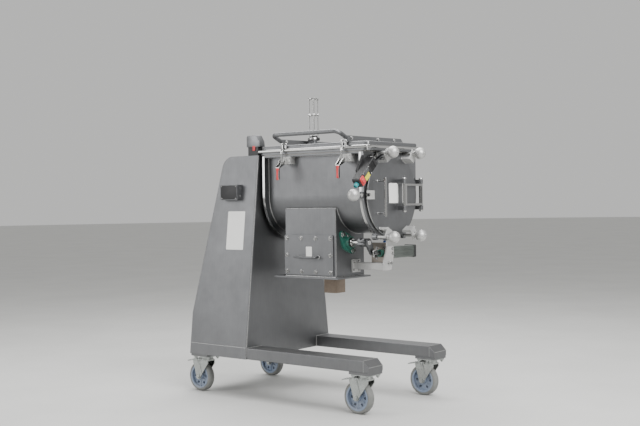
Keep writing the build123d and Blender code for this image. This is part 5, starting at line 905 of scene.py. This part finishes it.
class BLENDER_OT_dress_lid(bpy.types.Operator):
    """Add the lid's rim tube, seam strip, arm bolts, weld beads, hinge washers and the vent's clamp"""

    bl_idname = "ribbon_blender.dress_lid"
    bl_label = "Dress the lid"

    def execute(self, context):
        weld = details().weld_radius
        arm_low, arm_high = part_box("lid_arms")
        half_arm, bolt_height, arm_foot = 0.004, 1.256, 1.2397
        arms = (arm_low.x + half_arm, arm_high.x - half_arm)
        bolts = Form()
        for x in arms:
            for y in (-0.180, 0.030, 0.165):
                for side in SIDES:
                    bolts.bolt((x + side * half_arm, y, bolt_height), (side, 0, 0), 0.0062, 0.005)
        bolts.finish("lid_arm_bolts", "lid", "bright_steel", "bright_steel")
        beads = Form()
        for x in arms:
            for side in SIDES:
                for y in (-0.150, -0.02, 0.11):
                    toe = x + side * 0.0045
                    beads.tube([(toe, y, arm_foot), (toe, y + 0.045, arm_foot)], weld, 8)
        vent_x = middle("vent_cage").x
        foot = pose((vent_x, 0, 1.2388), (0, 0, 1))
        beads.lathe(foot, [(0.0165, 0), (0.0195, 0), (0.0165, 0.003)], 40, closed=True)
        beads.finish("lid_welds", "lid", "weld_steel", "satin_steel")
        rim = Form()
        left, right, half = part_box("lid_panel")[0].x + 0.004, spot(671, 0, 0).x - 0.006, 0.2175
        course = [(left, -half), (right - 0.02, -half), (right - 0.006, -half + 0.004)]
        course += [(right - 0.001, -half + 0.014), (right, -half + 0.03), (right, half - 0.03)]
        course += [(right - 0.001, half - 0.014), (right - 0.02, half), (left, half)]
        rim_height = 1.2122
        rim.tube([(x, y, rim_height) for x, y in course], 0.0082, 20)
        rim.finish("lid_rim_tube", "lid", "bright_steel", "satin_steel")
        seam = Form()
        outline = [(-0.2185, 1.1945), (-0.2185, 1.207), (-0.2185, 1.219), (-0.2095, 1.2215)]
        outline += [(-0.2095, 1.2345), (-0.2065, 1.2345), (-0.2065, 1.2205), (-0.213, 1.2175)]
        outline += [(-0.2155, 1.2075), (-0.2155, 1.1945)]
        seam.slab(section_place(spot(664.5, 0, 0).x), outline, 0.0035, 0.0005, 1)
        seam.finish("lid_seam_strip", "lid", "bright_steel", "bright_steel")
        clamp = Form()
        cage = pose((vent_x, 0, 1.2668), (0, 0, 1))
        ring = [(0.0165, 0), (0.0235, 0.001), (0.0255, 0.005)]
        ring += [(0.0255, 0.012), (0.0235, 0.016), (0.0165, 0.017)]
        clamp.lathe(cage, ring, 48, closed=True)
        clamp.finish("vent_clamp_ring", "lid", "bright_steel", "bright_steel")
        lugs = Form()
        lug_height = 1.2748
        for side in SIDES:
            lug = pose((vent_x + side * 0.0245, 0, lug_height), (side, 0, 0))
            lugs.block(lug, (0.016, 0.014, 0.008), 0.0012)
            lugs.bolt((vent_x + side * 0.032, 0, lug_height), (side, 0, 0), 0.0045, 0.004, washer=False)
        lugs.finish("vent_clamp_lugs", "lid", "black_plastic", "bright_steel")
        nuts = Form()
        for step in range(4):
            angle = radians(45 + 90 * step)
            x, y = vent_x + 0.021 * cos(angle), 0.021 * sin(angle)
            for z, way in ((1.397, 1), (1.3919, -1), (1.4739, -1)):
                nuts.bolt((x, y, z), (0, 0, way), 0.0055, 0.005, washer=False)
        nuts.finish("vent_cage_nuts", "lid", "bright_steel", "bright_steel")
        hinge = Form()
        for x in arms:
            for side in SIDES:
                head = (x + side * 0.0142, 0.242, 1.214)
                cap = [(0.0085, 0), (0.0085, 0.001), (0.0075, 0.0016), (0, 0.0016)]
                hinge.lathe(pose(head, (side, 0, 0)), cap, 24)
        hinge.finish("lid_hinge_washers", "frame", "bright_steel", "satin_steel")
        return {"FINISHED"}


class BLENDER_OT_dress_latches(bpy.types.Operator):
    """Add red grip sleeves, hook nuts, base screws and keepers to the toggle latches"""

    bl_idname = "ribbon_blender.dress_latches"
    bl_label = "Dress the latches"

    def execute(self, context):
        keepers = Form()
        bolts = Form()
        for latch in LATCHES:
            x = middle(f"{latch}_hook").x
            self.sleeve(latch, x)
            self.hook_nuts(latch, x)
            outline = [(-0.2095, 1.2215), (-0.2162, 1.2215), (-0.2162, 1.2485)]
            outline += [(-0.2142, 1.2485), (-0.2142, 1.2235), (-0.2095, 1.2235)]
            for side in SIDES:
                keepers.slab(section_place(x + side * 0.012 - 0.006), outline, 0.012, 0.0006, 1)
            for dx, dz in ((0.034, 1.157), (0.034, 1.173), (-0.008, 1.151), (-0.008, 1.178)):
                bolts.screw((x + dx, -0.2229, dz), (0, -1, 0), 0.0035)
            for side in SIDES:
                pin = pose((x + side * 0.0165, LATCH_STEM_Y, 1.158), (side, 0, 0))
                bolts.lathe(pin, [(0.0062, 0), (0.0062, 0.0012), (0.0038, 0.0022), (0, 0.0024)], 20)
        keepers.finish("latch_keepers", "lid", "bright_steel", "bright_steel")
        bolts.finish("latch_base_screws", "frame", "bright_steel", "bright_steel")
        return {"FINISHED"}

    def sleeve(self, latch, x):
        """Tapered red sleeve with end rings over the lever's grip."""
        sleeve = Form()
        profile = [(0.0, -0.0008), (0.0055, -0.0006), (0.0077, 0.002), (0.0079, 0.008), (0.0074, 0.022)]
        profile += [(0.0078, 0.040), (0.0086, 0.052), (0.0088, 0.0555), (0.0078, 0.0575), (0.0, 0.0578)]
        place = pose((x, -0.262, 1.0698), (0, 0, 1)) @ Matrix.Diagonal((1.0, 1.24, 1, 1))
        sleeve.lathe(place, profile, 36)
        sleeve.finish(f"{latch}_grip_sleeve", f"{latch}_lever", "grip_red")

    def hook_nuts(self, latch, x):
        """Adjusting nuts and thread on the hook's stem, and a cap on its tip."""
        nuts = Form()
        for z in (1.197, 1.2045):
            nuts.bolt((x, LATCH_STEM_Y, z), (0, 0, 1), 0.0062, 0.0055, washer=False, up=(1, 0, 0))
        thread = [(0.003, -0.0006), (0.0036, 0), (0.003, 0.0006)]
        for step in range(12):
            z = 1.2125 + step * 0.0016
            nuts.lathe(pose((x, LATCH_STEM_Y, z), (0, 0, 1)), thread, 16, closed=True)
        nuts.finish(f"{latch}_hook_nuts", f"{latch}_hook", "bright_steel", "bright_steel")
        tip = Form()
        cap = [(0.0, 0.0), (0.0034, 0.0002), (0.0038, 0.0014)]
        cap += [(0.0038, 0.007), (0.0032, 0.0076), (0, 0.0076)]
        tip.lathe(pose((x, -0.2192, 1.243), (0, -1, 0)), cap, 20)
        tip.finish(f"{latch}_hook_tip", f"{latch}_hook", "bright_steel", "bright_steel")


class BLENDER_OT_dress_door(bpy.types.Operator):
    """Add the door's turned rim, bare label plate, handle and knob collars, welds and hinge caps"""

    bl_idname = "ribbon_blender.dress_door"
    bl_label = "Dress the door"

    def execute(self, context):
        sizes = details()
        axis = pose((DOOR_FACE, 0, AXIS_Z), (1, 0, 0))
        rim = Form()
        section = [(0.1985, -0.0002), (0.2018, -0.0028), (0.2024, -0.0048), (0.2024, -0.0082)]
        section += [(0.2008, -0.0084), (0.1998, -0.004), (0.1972, -0.0004)]
        rim.lathe(axis, section, 120, closed=True)
        rim.finish("door_rim", "door", "bright_steel", "bright_steel")
        label = Form()
        place = pose(spot(0, 5.5, 998) + Vector((DOOR_FACE - FRONT, 0, 0)), (1, 0, 0))
        label.slab(place, rounded(0.094, 0.075, 0.003), sizes.label_thickness, 0.0002, 1)
        label.finish("door_bare_plate", "door", "white_label")
        welds = Form()
        posts = Form()
        handle_y = -0.121
        for z in (0.905, 1.055):
            foot = pose((DOOR_FACE, handle_y, z), (1, 0, 0))
            welds.lathe(foot, [(0.0045, 0), (0.0066, 0), (0.0050, 0.0022)], 28, closed=True)
            collar = pose((DOOR_FACE + 0.0315, handle_y, z), (1, 0, 0))
            band = [(0.0046, 0), (0.0072, 0.0008), (0.0072, 0.0042), (0.0046, 0.005)]
            posts.lathe(collar, band, 28, closed=True)
        for angle in (60, 120, 180, 240, 300):
            way = Vector((0, cos(radians(angle)), sin(radians(angle))))
            across = Vector((0, -way.z, way.y))
            foot = Vector((DOOR_FACE, 0, AXIS_Z)) + way * 0.184
            welds.tube([foot - across * 0.0195, foot + across * 0.0195], 0.0022, 8)
            for side in SIDES:
                edge = foot + across * side * 0.0205
                welds.tube([edge, edge + way * 0.011], 0.0018, 8)
        welds.finish("door_welds", "door", "weld_steel", "satin_steel")
        posts.finish("door_handle_collars", "door", "bright_steel", "bright_steel")
        self.knobs()
        self.hinge()
        return {"FINISHED"}

    def knobs(self):
        """Polished collars, tips and washers of the five knobbed bolts."""
        for number in range(1, 5):
            end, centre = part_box(f"door_screw_{number}")[1].x, middle(f"door_screw_{number}")
            place = pose((end, centre.y, centre.z), (-1, 0, 0))
            trim = Form()
            band = [(0.0128, 0.0478), (0.0146, 0.0486), (0.0146, 0.053), (0.0128, 0.0538)]
            trim.lathe(place, band, 40, closed=True)
            tip = [(0.0, -0.0003), (0.0045, 0.0), (0.0052, 0.0008), (0.0046, 0.0014), (0, 0.0014)]
            trim.lathe(place, tip, 32)
            washer = [(0.0075, 0.0618), (0.0155, 0.0618), (0.0155, 0.0603), (0.0075, 0.0603)]
            trim.lathe(place, washer, 36, closed=True)
            trim.finish(f"door_knob_trim_{number}", f"door_screw_{number}", "bright_steel", "knob_steel")
        pivot = Vector((FLANGE_FACE - 0.006, -0.229, AXIS_Z))
        along = Vector((cos(radians(75)), -sin(radians(75)), 0))
        trim = Form()
        place = pose(pivot, along)
        collar = [(0.0128, 0.0595), (0.0148, 0.0603), (0.0148, 0.0652), (0.0128, 0.066)]
        washer = [(0.0072, 0.050), (0.0125, 0.052), (0.0155, 0.058), (0.0128, 0.0582)]
        for profile in (collar, washer):
            trim.lathe(place, profile, 40, closed=True)
        trim.finish("swing_bolt_trim", "swing_bolt", "bright_steel", "knob_steel")

    def hinge(self):
        """Caps at the ends of the link's two hinge pins."""
        cap = [(0.0, 0.0105), (0.0062, 0.010), (0.0098, 0.0065), (0.0105, 0.002), (0.0105, 0.0), (0.0, 0.0)]
        for name, body, out, y in (
            ("door_hinge_caps", "door_link", 0.036, 0.043),
            ("flange_hinge_caps", "frame", 0.008, 0.229),
        ):
            caps = Form()
            for side in SIDES:
                caps.lathe(pose((DOOR_FACE + out, y, AXIS_Z + side * 0.0735), (0, 0, side)), cap, 32)
            caps.finish(name, body, "bright_steel", "bright_steel")


# Slanting switch beside the door: its ends, its two directions, its gap to the flange and its depth
SWITCH_LOW, SWITCH_HIGH = Vector((0, -0.292, 1.040)), Vector((0, -0.169, 1.149))
SWITCH_ALONG = (SWITCH_HIGH - SWITCH_LOW).normalized()
SWITCH_ACROSS = Vector((0, -SWITCH_ALONG.z, SWITCH_ALONG.y))
SWITCH_GAP, SWITCH_DEPTH = 0.001, 0.038


def on_switch(run, offset=0.0, proud=0.0):
    """Point on the door switch's face: run along it, offset across it, proud of it."""
    face = Vector((FLANGE_FACE + SWITCH_GAP + SWITCH_DEPTH + proud, 0, 0))
    return face + (SWITCH_LOW + SWITCH_HIGH) / 2 + SWITCH_ALONG * run + SWITCH_ACROSS * offset


def flat_on_switch(run, offset=0.0, proud=0.0):
    """Place on the door switch's face whose X runs along the switch."""
    return pose(on_switch(run, offset, proud), (1, 0, 0), up=SWITCH_ALONG)


class BLENDER_OT_dress_switches(bpy.types.Operator):
    """Add the door switch's plates, end cap and gland, and the lid switch's hood and key"""

    bl_idname = "ribbon_blender.dress_switches"
    bl_label = "Dress the safety switches"

    def execute(self, context):
        self.door_switch()
        self.lid_switch()
        self.door_switch_screws()
        return {"FINISHED"}

    def door_switch(self):
        """Ribs, bare plates, cap, gland and bracket of the slanting switch beside the door."""
        body = Form()
        for run in (0.030, 0.038, 0.046, 0.054):
            body.block(flat_on_switch(run), (0.0032, 0.040, 0.0018), 0.0005)
        body.block(flat_on_switch(0.066), (0.020, 0.036, 0.004), 0.0012)
        body.finish("door_switch_ribs", "frame", "black_plastic", "switch_plastic")
        grey = Form()
        grey.slab(flat_on_switch(-0.014, 0.012), rounded(0.046, 0.018, 0.003), 0.0016, 0.0004)
        grey.finish("door_switch_grey_plate", "frame", "brushed_plate")
        yellow = Form()
        yellow.slab(flat_on_switch(-0.020, -0.011), rounded(0.040, 0.022, 0.002), 0.0008, 0.0002, 1)
        yellow.finish("door_switch_yellow_plate", "frame", "yellow_label")
        red = Form()
        red.slab(flat_on_switch(-0.061), rounded(0.030, 0.040, 0.005), 0.0035, 0.001)
        button = [(0.011, 0), (0.011, 0.003), (0.009, 0.005), (0, 0.0056)]
        red.lathe(pose(on_switch(-0.061, 0, 0.0035), (1, 0, 0)), button, 32)
        red.finish("door_switch_red_cap", "frame", "grip_red")
        gland = Form()
        tail = pose(on_switch(-0.0825, 0, -0.020), -SWITCH_ALONG)
        gland.lathe(tail, [(0.012, 0), (0.012, 0.006), (0.0105, 0.007)], 6)
        nut = [(0.0105, 0.005), (0.0105, 0.014), (0.009, 0.018)]
        nut += [(0.0062, 0.020), (0.0062, 0.016), (0, 0.016)]
        gland.lathe(tail, nut, 28)
        gland.finish("door_switch_gland", "frame", "teal_plastic")
        actuator = Form()
        actuator.block(flat_on_switch(0.084, 0, -0.030), (0.030, 0.034, 0.004), 0.001)
        actuator.block(flat_on_switch(0.102, 0.004, -0.026), (0.040, 0.012, 0.016), 0.0015)
        for run in (0.076, 0.094):
            actuator.bolt(on_switch(run, 0.011, -0.026), (1, 0, 0), 0.0042, 0.0036)
        actuator.finish("door_switch_bracket", "frame", "bright_steel", "bright_steel")

    def lid_switch(self):
        """Sheet hood and red key of the switch at the lid's rear end."""
        hood = Form()
        left, top = spot(-80, 0, 0).x, 1.296
        outline = [(0, 1.2385), (0, top - 0.008), (0.006, top)]
        outline += [(0.066, top), (0.084, 1.266), (0.088, 1.2385)]
        hood.slab(pose((left, -0.1755, 0), (0, -1, 0), up=(1, 0, 0)), outline, 0.041, 0.0018, 3)
        hood.finish("lid_switch_hood", "frame", "brushed_plate")
        key = Form()
        key.block(pose(spot(-32, -214.2, 1232), (0, -1, 0)), (0.024, 0.016, 0.0032), 0.001)
        knob = [(0.0045, 0), (0.0045, 0.0016), (0.003, 0.0024), (0, 0.0024)]
        key.lathe(pose(spot(-32, -217, 1236), (0, -1, 0)), knob, 20)
        key.finish("lid_switch_key", "frame", "grip_red")

    def door_switch_screws(self):
        """Four screws in the door switch's face."""
        screws = Form()
        for run in (-0.038, 0.014):
            for offset in (-0.0185, 0.0185):
                screws.screw(on_switch(run, offset), (1, 0, 0), 0.0028)
        screws.finish("door_switch_screws", "frame", "bright_steel", "bright_steel")


class BLENDER_OT_dress_valve(bpy.types.Operator):
    """Add bolts, welds, a bare label plate and bearing fittings to the discharge valve"""

    bl_idname = "ribbon_blender.dress_valve"
    bl_label = "Dress the discharge valve"

    def execute(self, context):
        sizes = details()
        low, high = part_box("cover_bolts")
        face = high.y
        bolts = Form()
        radius = sizes.cover_bolt_radius
        xs = [low.x + 0.006 + step * (high.x - low.x - 0.012) / 3 for step in range(4)]
        z_low, z_high = low.z + 0.0052, high.z - 0.0052
        heads = [(x, z) for x in xs for z in (z_low, z_high)]
        heads += [(x, (z_low + z_high) / 2) for x in (xs[0], xs[-1])]
        for x, z in heads:
            bolts.bolt((x, face, z), (0, -1, 0), radius, 0.0072, up=(1, 0, 0))
        bolts.finish("valve_cover_bolts", "frame", "bright_steel", "bright_steel")
        label = Form()
        centre = spot(291, 0, 722)
        place = pose((centre.x, face, centre.z), (0, -1, 0))
        label.slab(place, rounded(0.050, 0.036, 0.002), sizes.label_thickness, 0.0002, 1)
        label.finish("cover_bare_plate", "frame", "white_label")
        self.welds()
        feet = Form()
        for x in (COVER_LOW.x + 0.0865, COVER_HIGH.x - 0.0865):
            profile = [(0.005, 0), (0.0085, 0), (0.008, 0.002), (0.0054, 0.0036)]
            feet.lathe(pose((x, face, 0.698), (0, -1, 0)), profile, 28, closed=True)
        feet.finish("cover_handle_feet", "frame", "bright_steel", "bright_steel")
        self.spout_sleeve()
        self.bearings()
        return {"FINISHED"}

    def welds(self):
        """Seams where the housing meets the trough and the outlet plate, and down its corner."""
        welds = Form()
        left, right, near = HOUSING_LOW.x, HOUSING_HIGH.x, HOUSING_LOW.y
        foot, inset = 0.6035, 0.003
        welds.tube([(left + inset, -0.1735, 0.9305), (right - inset, -0.1735, 0.9305)], 0.0024, 8)
        start, end, steps = 199, 283, 16
        angles = [radians(start + (end - start) * step / steps) for step in range(steps + 1)]
        saddle = [(SADDLE_RADIUS * cos(angle), AXIS_Z + SADDLE_RADIUS * sin(angle)) for angle in angles]
        for x in (left - 0.0004, right + 0.0004):
            welds.tube([(x, y, z) for y, z in saddle], 0.0022, 8)
            welds.tube([(x, -0.179, foot), (x, 0.036, foot)], 0.002, 8)
        welds.tube([(left + inset, near - 0.0004, foot), (right - inset, near - 0.0004, foot)], 0.002, 8)
        corner = (right - 0.0012, near + 0.0012)
        welds.tube([(*corner, 0.607), (*corner, 0.926)], 0.0013, 8)
        welds.finish("valve_housing_welds", "frame", "weld_steel", "satin_steel")

    def spout_sleeve(self):
        """Sleeve round the spout, open below, its brown a painted reflection of brown surroundings on
        stainless sheet.
        """
        x = spot(298, 0, 0).x
        top, bottom = 0.594, 0.5132
        sleeve = Form()
        outer, inner = rounded(0.0784, 0.0784, 0.0075), rounded(0.0763, 0.0763, 0.0064)
        stations = ((inner, top), (outer, top), (outer, bottom), (inner, bottom))
        rings = [sleeve.ring((x + a, b, z) for a, b in outline) for outline, z in stations]
        sleeve.loft(rings, closed=True)
        sleeve.finish("spout_sleeve", "frame", "spout_sheet")

    def bearings(self):
        """Grease nipples, locking screws, seals and bolts of the two flange bearings."""
        fittings = Form()
        seals = Form()
        for x, facing in ((HOUSING_LOW.x, -1), (HOUSING_HIGH.x, 1)):
            seat = pose((x, VALVE_Y, VALVE_Z), (facing, 0, 0))
            ring = [(0.0205, 0.030), (0.0245, 0.030), (0.0235, 0.0335), (0.0205, 0.0335)]
            seals.lathe(seat, ring, 40, closed=True)
            collar = [(0.0128, 0.0), (0.0192, 0.030), (0.0192, 0.040), (0.0178, 0.0415), (0.0128, 0.0415)]
            fittings.lathe(seat, collar, 40, closed=True)
            nipple = pose((x + facing * 0.020, VALVE_Y - 0.012, VALVE_Z + 0.0285), (0, -0.35, 1))
            profile = [(0.0036, 0), (0.0036, 0.003), (0.0028, 0.0035)]
            profile += [(0.0022, 0.006), (0.0026, 0.0075), (0, 0.009)]
            fittings.lathe(nipple, profile, 16)
            for side in SIDES:
                reach = side * 0.0389
                head = (x + facing * 0.012, VALVE_Y + reach, VALVE_Z - reach)
                fittings.bolt(head, (facing, 0, 0), 0.0105, 0.0088)
        fittings.finish("bearing_fittings", "frame", "bright_steel", "bright_steel")
        seals.finish("bearing_seals", "frame", "black_plastic", "switch_plastic")


class BLENDER_OT_dress_actuator(bpy.types.Operator):
    """Add the crank's clamp, the air cylinder's caps, ribs, gland and fitting, and the bracket's bolts"""

    bl_idname = "ribbon_blender.dress_actuator"
    bl_label = "Dress the valve drive"

    def execute(self, context):
        self.crank_clamp()
        self.end_caps()
        self.bracket()
        self.cylinder()
        self.fitting()
        return {"FINISHED"}

    def crank_clamp(self):
        """Split clamp, its bolts and button, and the turned ends of the crank's hub."""
        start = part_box("valve_crank")[0].x
        clamp = Form()
        hub_x = start + 0.026
        for z in (VALVE_Z - 0.011, VALVE_Z + 0.003):
            place = pose((hub_x - 0.001, VALVE_Y - 0.0265, z), (0, 0, 1))
            clamp.block(place, (0.040, 0.020, 0.010), 0.002)
        for dx in (-0.011, 0.011):
            clamp.bolt((hub_x + dx, VALVE_Y - 0.029, VALVE_Z + 0.013), (0, 0, 1), 0.0062, 0.006)
        button = [(0.0, 0.0075), (0.0065, 0.007), (0.0098, 0.0052)]
        button += [(0.0105, 0.003), (0.0105, 0.0), (0.0, 0.0)]
        clamp.lathe(pose((hub_x + 0.006, VALVE_Y - 0.0195, VALVE_Z + 0.004), (0, -1, 0)), button, 32)
        for x in (start + 0.0005, start + 0.0495):
            ring = [(0.0195, -0.0015), (0.0208, -0.0008), (0.0208, 0.0008), (0.0195, 0.0015)]
            clamp.lathe(pose((x, VALVE_Y, VALVE_Z), (1, 0, 0)), ring, 48, closed=True)
        clamp.finish("crank_clamp", "valve", "brushed_plate", "satin_steel")

    def end_caps(self):
        """Square caps at both ends of the air cylinder."""
        caps = Form()
        for start, length in ((CYLINDER_LOW.y + 0.0243, 0.0396), (CYLINDER_HIGH.y - 0.0158, 0.0162)):
            self.shell(caps, pose((CYLINDER_X, start, CYLINDER_Z), (0, 1, 0)), length)
        caps.finish("cylinder_end_caps", "frame", "black_plastic", "cylinder_metal")

    def cylinder(self):
        """Ribs, rod gland and wiper of the air cylinder."""
        rails = Form()
        front, rear = CYLINDER_LOW.y + 0.066, CYLINDER_HIGH.y - 0.018
        for z in (CYLINDER_Z - 0.011, CYLINDER_Z + 0.011):
            for x in (CYLINDER_X - 0.0281, CYLINDER_X + 0.0281):
                rails.tube([(x, front, z), (x, rear, z)], 0.0022, 8)
        rails.finish("cylinder_ribs", "frame", "cylinder_metal", "cylinder_metal")
        gland = Form()
        nose = pose((CYLINDER_X, CYLINDER_LOW.y, CYLINDER_Z), (0, -1, 0))
        profile = [(0.0185, -0.0138), (0.0188, -0.012), (0.0188, -0.004), (0.0168, 0.0002)]
        profile += [(0.0112, 0.0006), (0.0112, -0.003), (0.0075, -0.003), (0.0075, -0.0138)]
        gland.lathe(nose, profile, 44, closed=True)
        gland.finish("rod_gland", "frame", "green_casting")
        wiper = Form()
        ring = [(0.0073, -0.003), (0.011, -0.003), (0.0098, 0.0028), (0.0073, 0.0032)]
        wiper.lathe(nose, ring, 32, closed=True)
        wiper.finish("rod_wiper", "frame", "black_plastic", "switch_plastic")

    def bracket(self):
        """Bolts of the cylinder and its bracket, and the plate in front of the cylinder."""
        screws = Form()
        rear, plate_face = CYLINDER_HIGH.y + 0.0002, CYLINDER_LOW.y + 0.0138
        for dx in SIDES:
            for dz in SIDES:
                point = (CYLINDER_X + dx * 0.022, rear, CYLINDER_Z + dz * 0.022)
                screws.bolt(point, (0, 1, 0), 0.0046, 0.004, washer=False)
                point = (CYLINDER_X + dx * 0.023, plate_face, CYLINDER_Z + dz * 0.023)
                screws.bolt(point, (0, -1, 0), 0.0058, 0.005)
        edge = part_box("actuator_bracket")[1].x
        for y, z in ((-0.020, 0.667), (0.002, 0.667), (0.012, 0.713), (0.012, 0.735)):
            screws.bolt((edge, y, z), (1, 0, 0), 0.006, 0.0052)
        for y in (-0.0555, -0.0145):
            for z in (0.6315, 0.6725):
                screws.bolt((HOUSING_HIGH.x + 0.008, y, z), (1, 0, 0), 0.0052, 0.0048)
        screws.finish("actuator_bolts", "frame", "bright_steel", "bright_steel")
        # Plate in front of the cylinder, its brown a painted reflection of brown surroundings
        plate = Form()
        place = pose((CYLINDER_X - 0.0125, CYLINDER_LOW.y + 0.0142, 0.7168), (0, -1, 0))
        plate.slab(place, rounded(0.093, 0.083, 0.002), 0.0012, 0.0004, 1)
        plate.finish("actuator_front_plate", "frame", "bracket_plate")

    def shell(self, form, place, length):
        """Square sleeve with rounded corners that stands just proud of the cylinder's cap."""
        outlines = ((0.0618, 0.0068), (0.0602, 0.0062), (0.0598, 0.0058))
        wide, shrunk, tight = (rounded(side, side, radius) for side, radius in outlines)
        stations = [(tight, 0), (shrunk, 0), (wide, 0.001)]
        stations += [(wide, length - 0.001), (shrunk, length), (tight, length)]
        rings = [form.ring(place @ Vector((x, y, z)) for x, y in outline) for outline, z in stations]
        form.loft(rings, closed=True)

    def fitting(self):
        """Push-in air fitting standing in the port of the front cap."""
        x, y, z = CYLINDER_X, CYLINDER_LOW.y + 0.044, CYLINDER_Z + 0.030
        metal = Form()
        base = pose((x, y, z), (0, 0, 1))
        metal.lathe(base, [(0.0082, 0.0009), (0.0082, 0.0068), (0.0074, 0.0078), (0.005, 0.008)], 6)
        metal.finish("air_fitting_nut", "frame", "bright_steel")
        barrel = Form()
        profile = [(0.0, 0.0075), (0.0068, 0.0075), (0.0068, 0.020), (0.0062, 0.0215), (0.0062, 0.0235)]
        profile += [(0.0074, 0.0245), (0.0074, 0.0268), (0.006, 0.0278)]
        profile += [(0.0034, 0.0278), (0.0034, 0.022), (0, 0.022)]
        barrel.lathe(base, profile, 32)
        barrel.finish("air_fitting", "frame", "blue_plastic")


# Lights: place, aim, size and share of the key light's power
LIGHTS = {
    "key_light": ((3.2, -1.2, 3.4), (0.1, 0, 0.9), 2.6, 1.0),
    "top_light": ((-0.6, 0.6, 3.8), (0, 0, 0.9), 3.0, 0.75),
    "fill_light": ((-2.6, -3.6, 2.0), (0, 0, 0.9), 2.4, 0.32),
    "side_light": ((3.4, 4.2, 1.7), (0.3, 0, 0.9), 2.8, 0.06),
}


class BLENDER_OT_set_stage(bpy.types.Operator):
    """Set the pale floor, the soft studio light and the camera"""

    bl_idname = "ribbon_blender.set_stage"
    bl_label = "Set the stage"

    def execute(self, context):
        scene = context.scene
        settings = scene.blender_stage
        self.floor(scene, settings)
        self.surround(scene, settings)
        for name, (origin, target, size, share) in LIGHTS.items():
            self.light(scene, name, origin, target, size, settings.key_power * share)
        self.camera(scene, settings)
        return {"FINISHED"}

    def floor(self, scene, settings):
        """Wide pale floor with very faint clouds."""
        sheet = bmesh.new()
        sides = 96
        rings = []
        for radius in (1.5, 4.0, 12.0, 45.0):
            rings.append([sheet.verts.new((radius * a, radius * b, 0)) for a, b in turns(sides)])
        sheet.faces.new(rings[0])
        for inner, outer in zip(rings, rings[1:]):
            for step in range(sides):
                after = (step + 1) % sides
                sheet.faces.new((inner[step], outer[step], outer[after], inner[after]))
        data = bpy.data.meshes.new("studio_floor")
        sheet.to_mesh(data)
        sheet.free()
        piece = bpy.data.objects.new("studio_floor", data)
        scene.collection.objects.link(piece)
        pale, wiring = bare_material("pale_floor")
        vector = wiring.add("TexCoord").outputs["Object"]
        base = tuple(settings.floor) + (1,)
        cloud = wiring.range(wiring.noise(vector, 1.6, 6.0, 0.6), 0.35, 0.65)
        colour = wiring.mix(cloud, base, tinted(base, 0.93))
        grain = wiring.noise(vector, 180.0, 3.0, 0.5)
        bump = wiring.add("Bump", {"Strength": 0.15, "Distance": 0.001, "Height": grain})
        wiring.surface({"Base Color": colour, "Roughness": 0.62, "Normal": bump.outputs["Normal"]})
        data.materials.append(pale)

    def surround(self, scene, settings):
        """Even pale light from all round."""
        world = bpy.data.worlds.new("studio_surround")
        world.use_nodes = True
        background = world.node_tree.nodes["Background"]
        background.inputs["Color"].default_value = tuple(settings.backdrop) + (1,)
        background.inputs["Strength"].default_value = settings.surround
        scene.world = world

    def light(self, scene, name, origin, target, size, power):
        """Large square light aimed at a point."""
        data = bpy.data.lights.new(name, "AREA")
        data.shape = "SQUARE"
        data.size = size
        data.energy = power
        lamp = bpy.data.objects.new(name, data)
        lamp.matrix_world = pose(origin, Vector(origin) - Vector(target))
        scene.collection.objects.link(lamp)

    def camera(self, scene, settings):
        """Camera at the photograph's place, with its small tilt and roll."""
        yaw, pitch, roll = radians(38.69), radians(-0.69), radians(-0.82)
        ahead = Vector((-sin(yaw) * cos(pitch), cos(yaw) * cos(pitch), sin(pitch)))
        right = ahead.cross(Vector((0, 0, 1))).normalized()
        above = right.cross(ahead)
        right, above = cos(roll) * right + sin(roll) * above, cos(roll) * above - sin(roll) * right
        data = bpy.data.cameras.new("photograph_camera")
        data.lens = settings.lens
        data.sensor_width = 36
        camera = bpy.data.objects.new("photograph_camera", data)
        turned = Matrix((right, above, -ahead)).transposed().to_4x4()
        turned.translation = spot(3352, -3922, 966)
        camera.matrix_world = turned
        scene.collection.objects.link(camera)
        scene.camera = camera


OPERATORS = (
    BLENDER_OT_finish_nodes,
    BLENDER_OT_dress_column,
    BLENDER_OT_dress_casters,
    BLENDER_OT_dress_trough,
    BLENDER_OT_dress_lid,
    BLENDER_OT_dress_latches,
    BLENDER_OT_dress_door,
    BLENDER_OT_dress_switches,
    BLENDER_OT_dress_valve,
    BLENDER_OT_dress_actuator,
    BLENDER_OT_set_stage,
)


class BLENDER_PT_sidebar(bpy.types.Panel):
    """Lists the machine's operators and settings in the sidebar"""

    bl_idname = "BLENDER_PT_sidebar"
    bl_label = "Ribbon blender"
    bl_space_type = "VIEW_3D"
    bl_region_type = "UI"
    bl_category = "Blender"

    def draw(self, context):
        for operator in OPERATORS:
            self.layout.operator(operator.bl_idname)
        for group in ("blender_colours", "blender_details", "blender_stage"):
            settings = getattr(context.scene, group)
            for name in settings.__annotations__:
                self.layout.prop(settings, name)


CLASSES = (BlenderColours, DetailSizes, StageSettings) + OPERATORS + (BLENDER_PT_sidebar,)


def register():
    """Register the property groups, operators and panel."""
    for item in CLASSES:
        bpy.utils.register_class(item)
    bpy.types.Scene.blender_colours = PointerProperty(type=BlenderColours)
    bpy.types.Scene.blender_details = PointerProperty(type=DetailSizes)
    bpy.types.Scene.blender_stage = PointerProperty(type=StageSettings)


def unregister():
    """Undo register."""
    del bpy.types.Scene.blender_stage
    del bpy.types.Scene.blender_details
    del bpy.types.Scene.blender_colours
    for item in reversed(CLASSES):
        bpy.utils.unregister_class(item)


def main():
    """Run every operator once."""
    register()
    for operator in OPERATORS:
        group, name = operator.bl_idname.split(".")
        getattr(getattr(bpy.ops, group), name)()


if __name__ == "__main__":
    main()
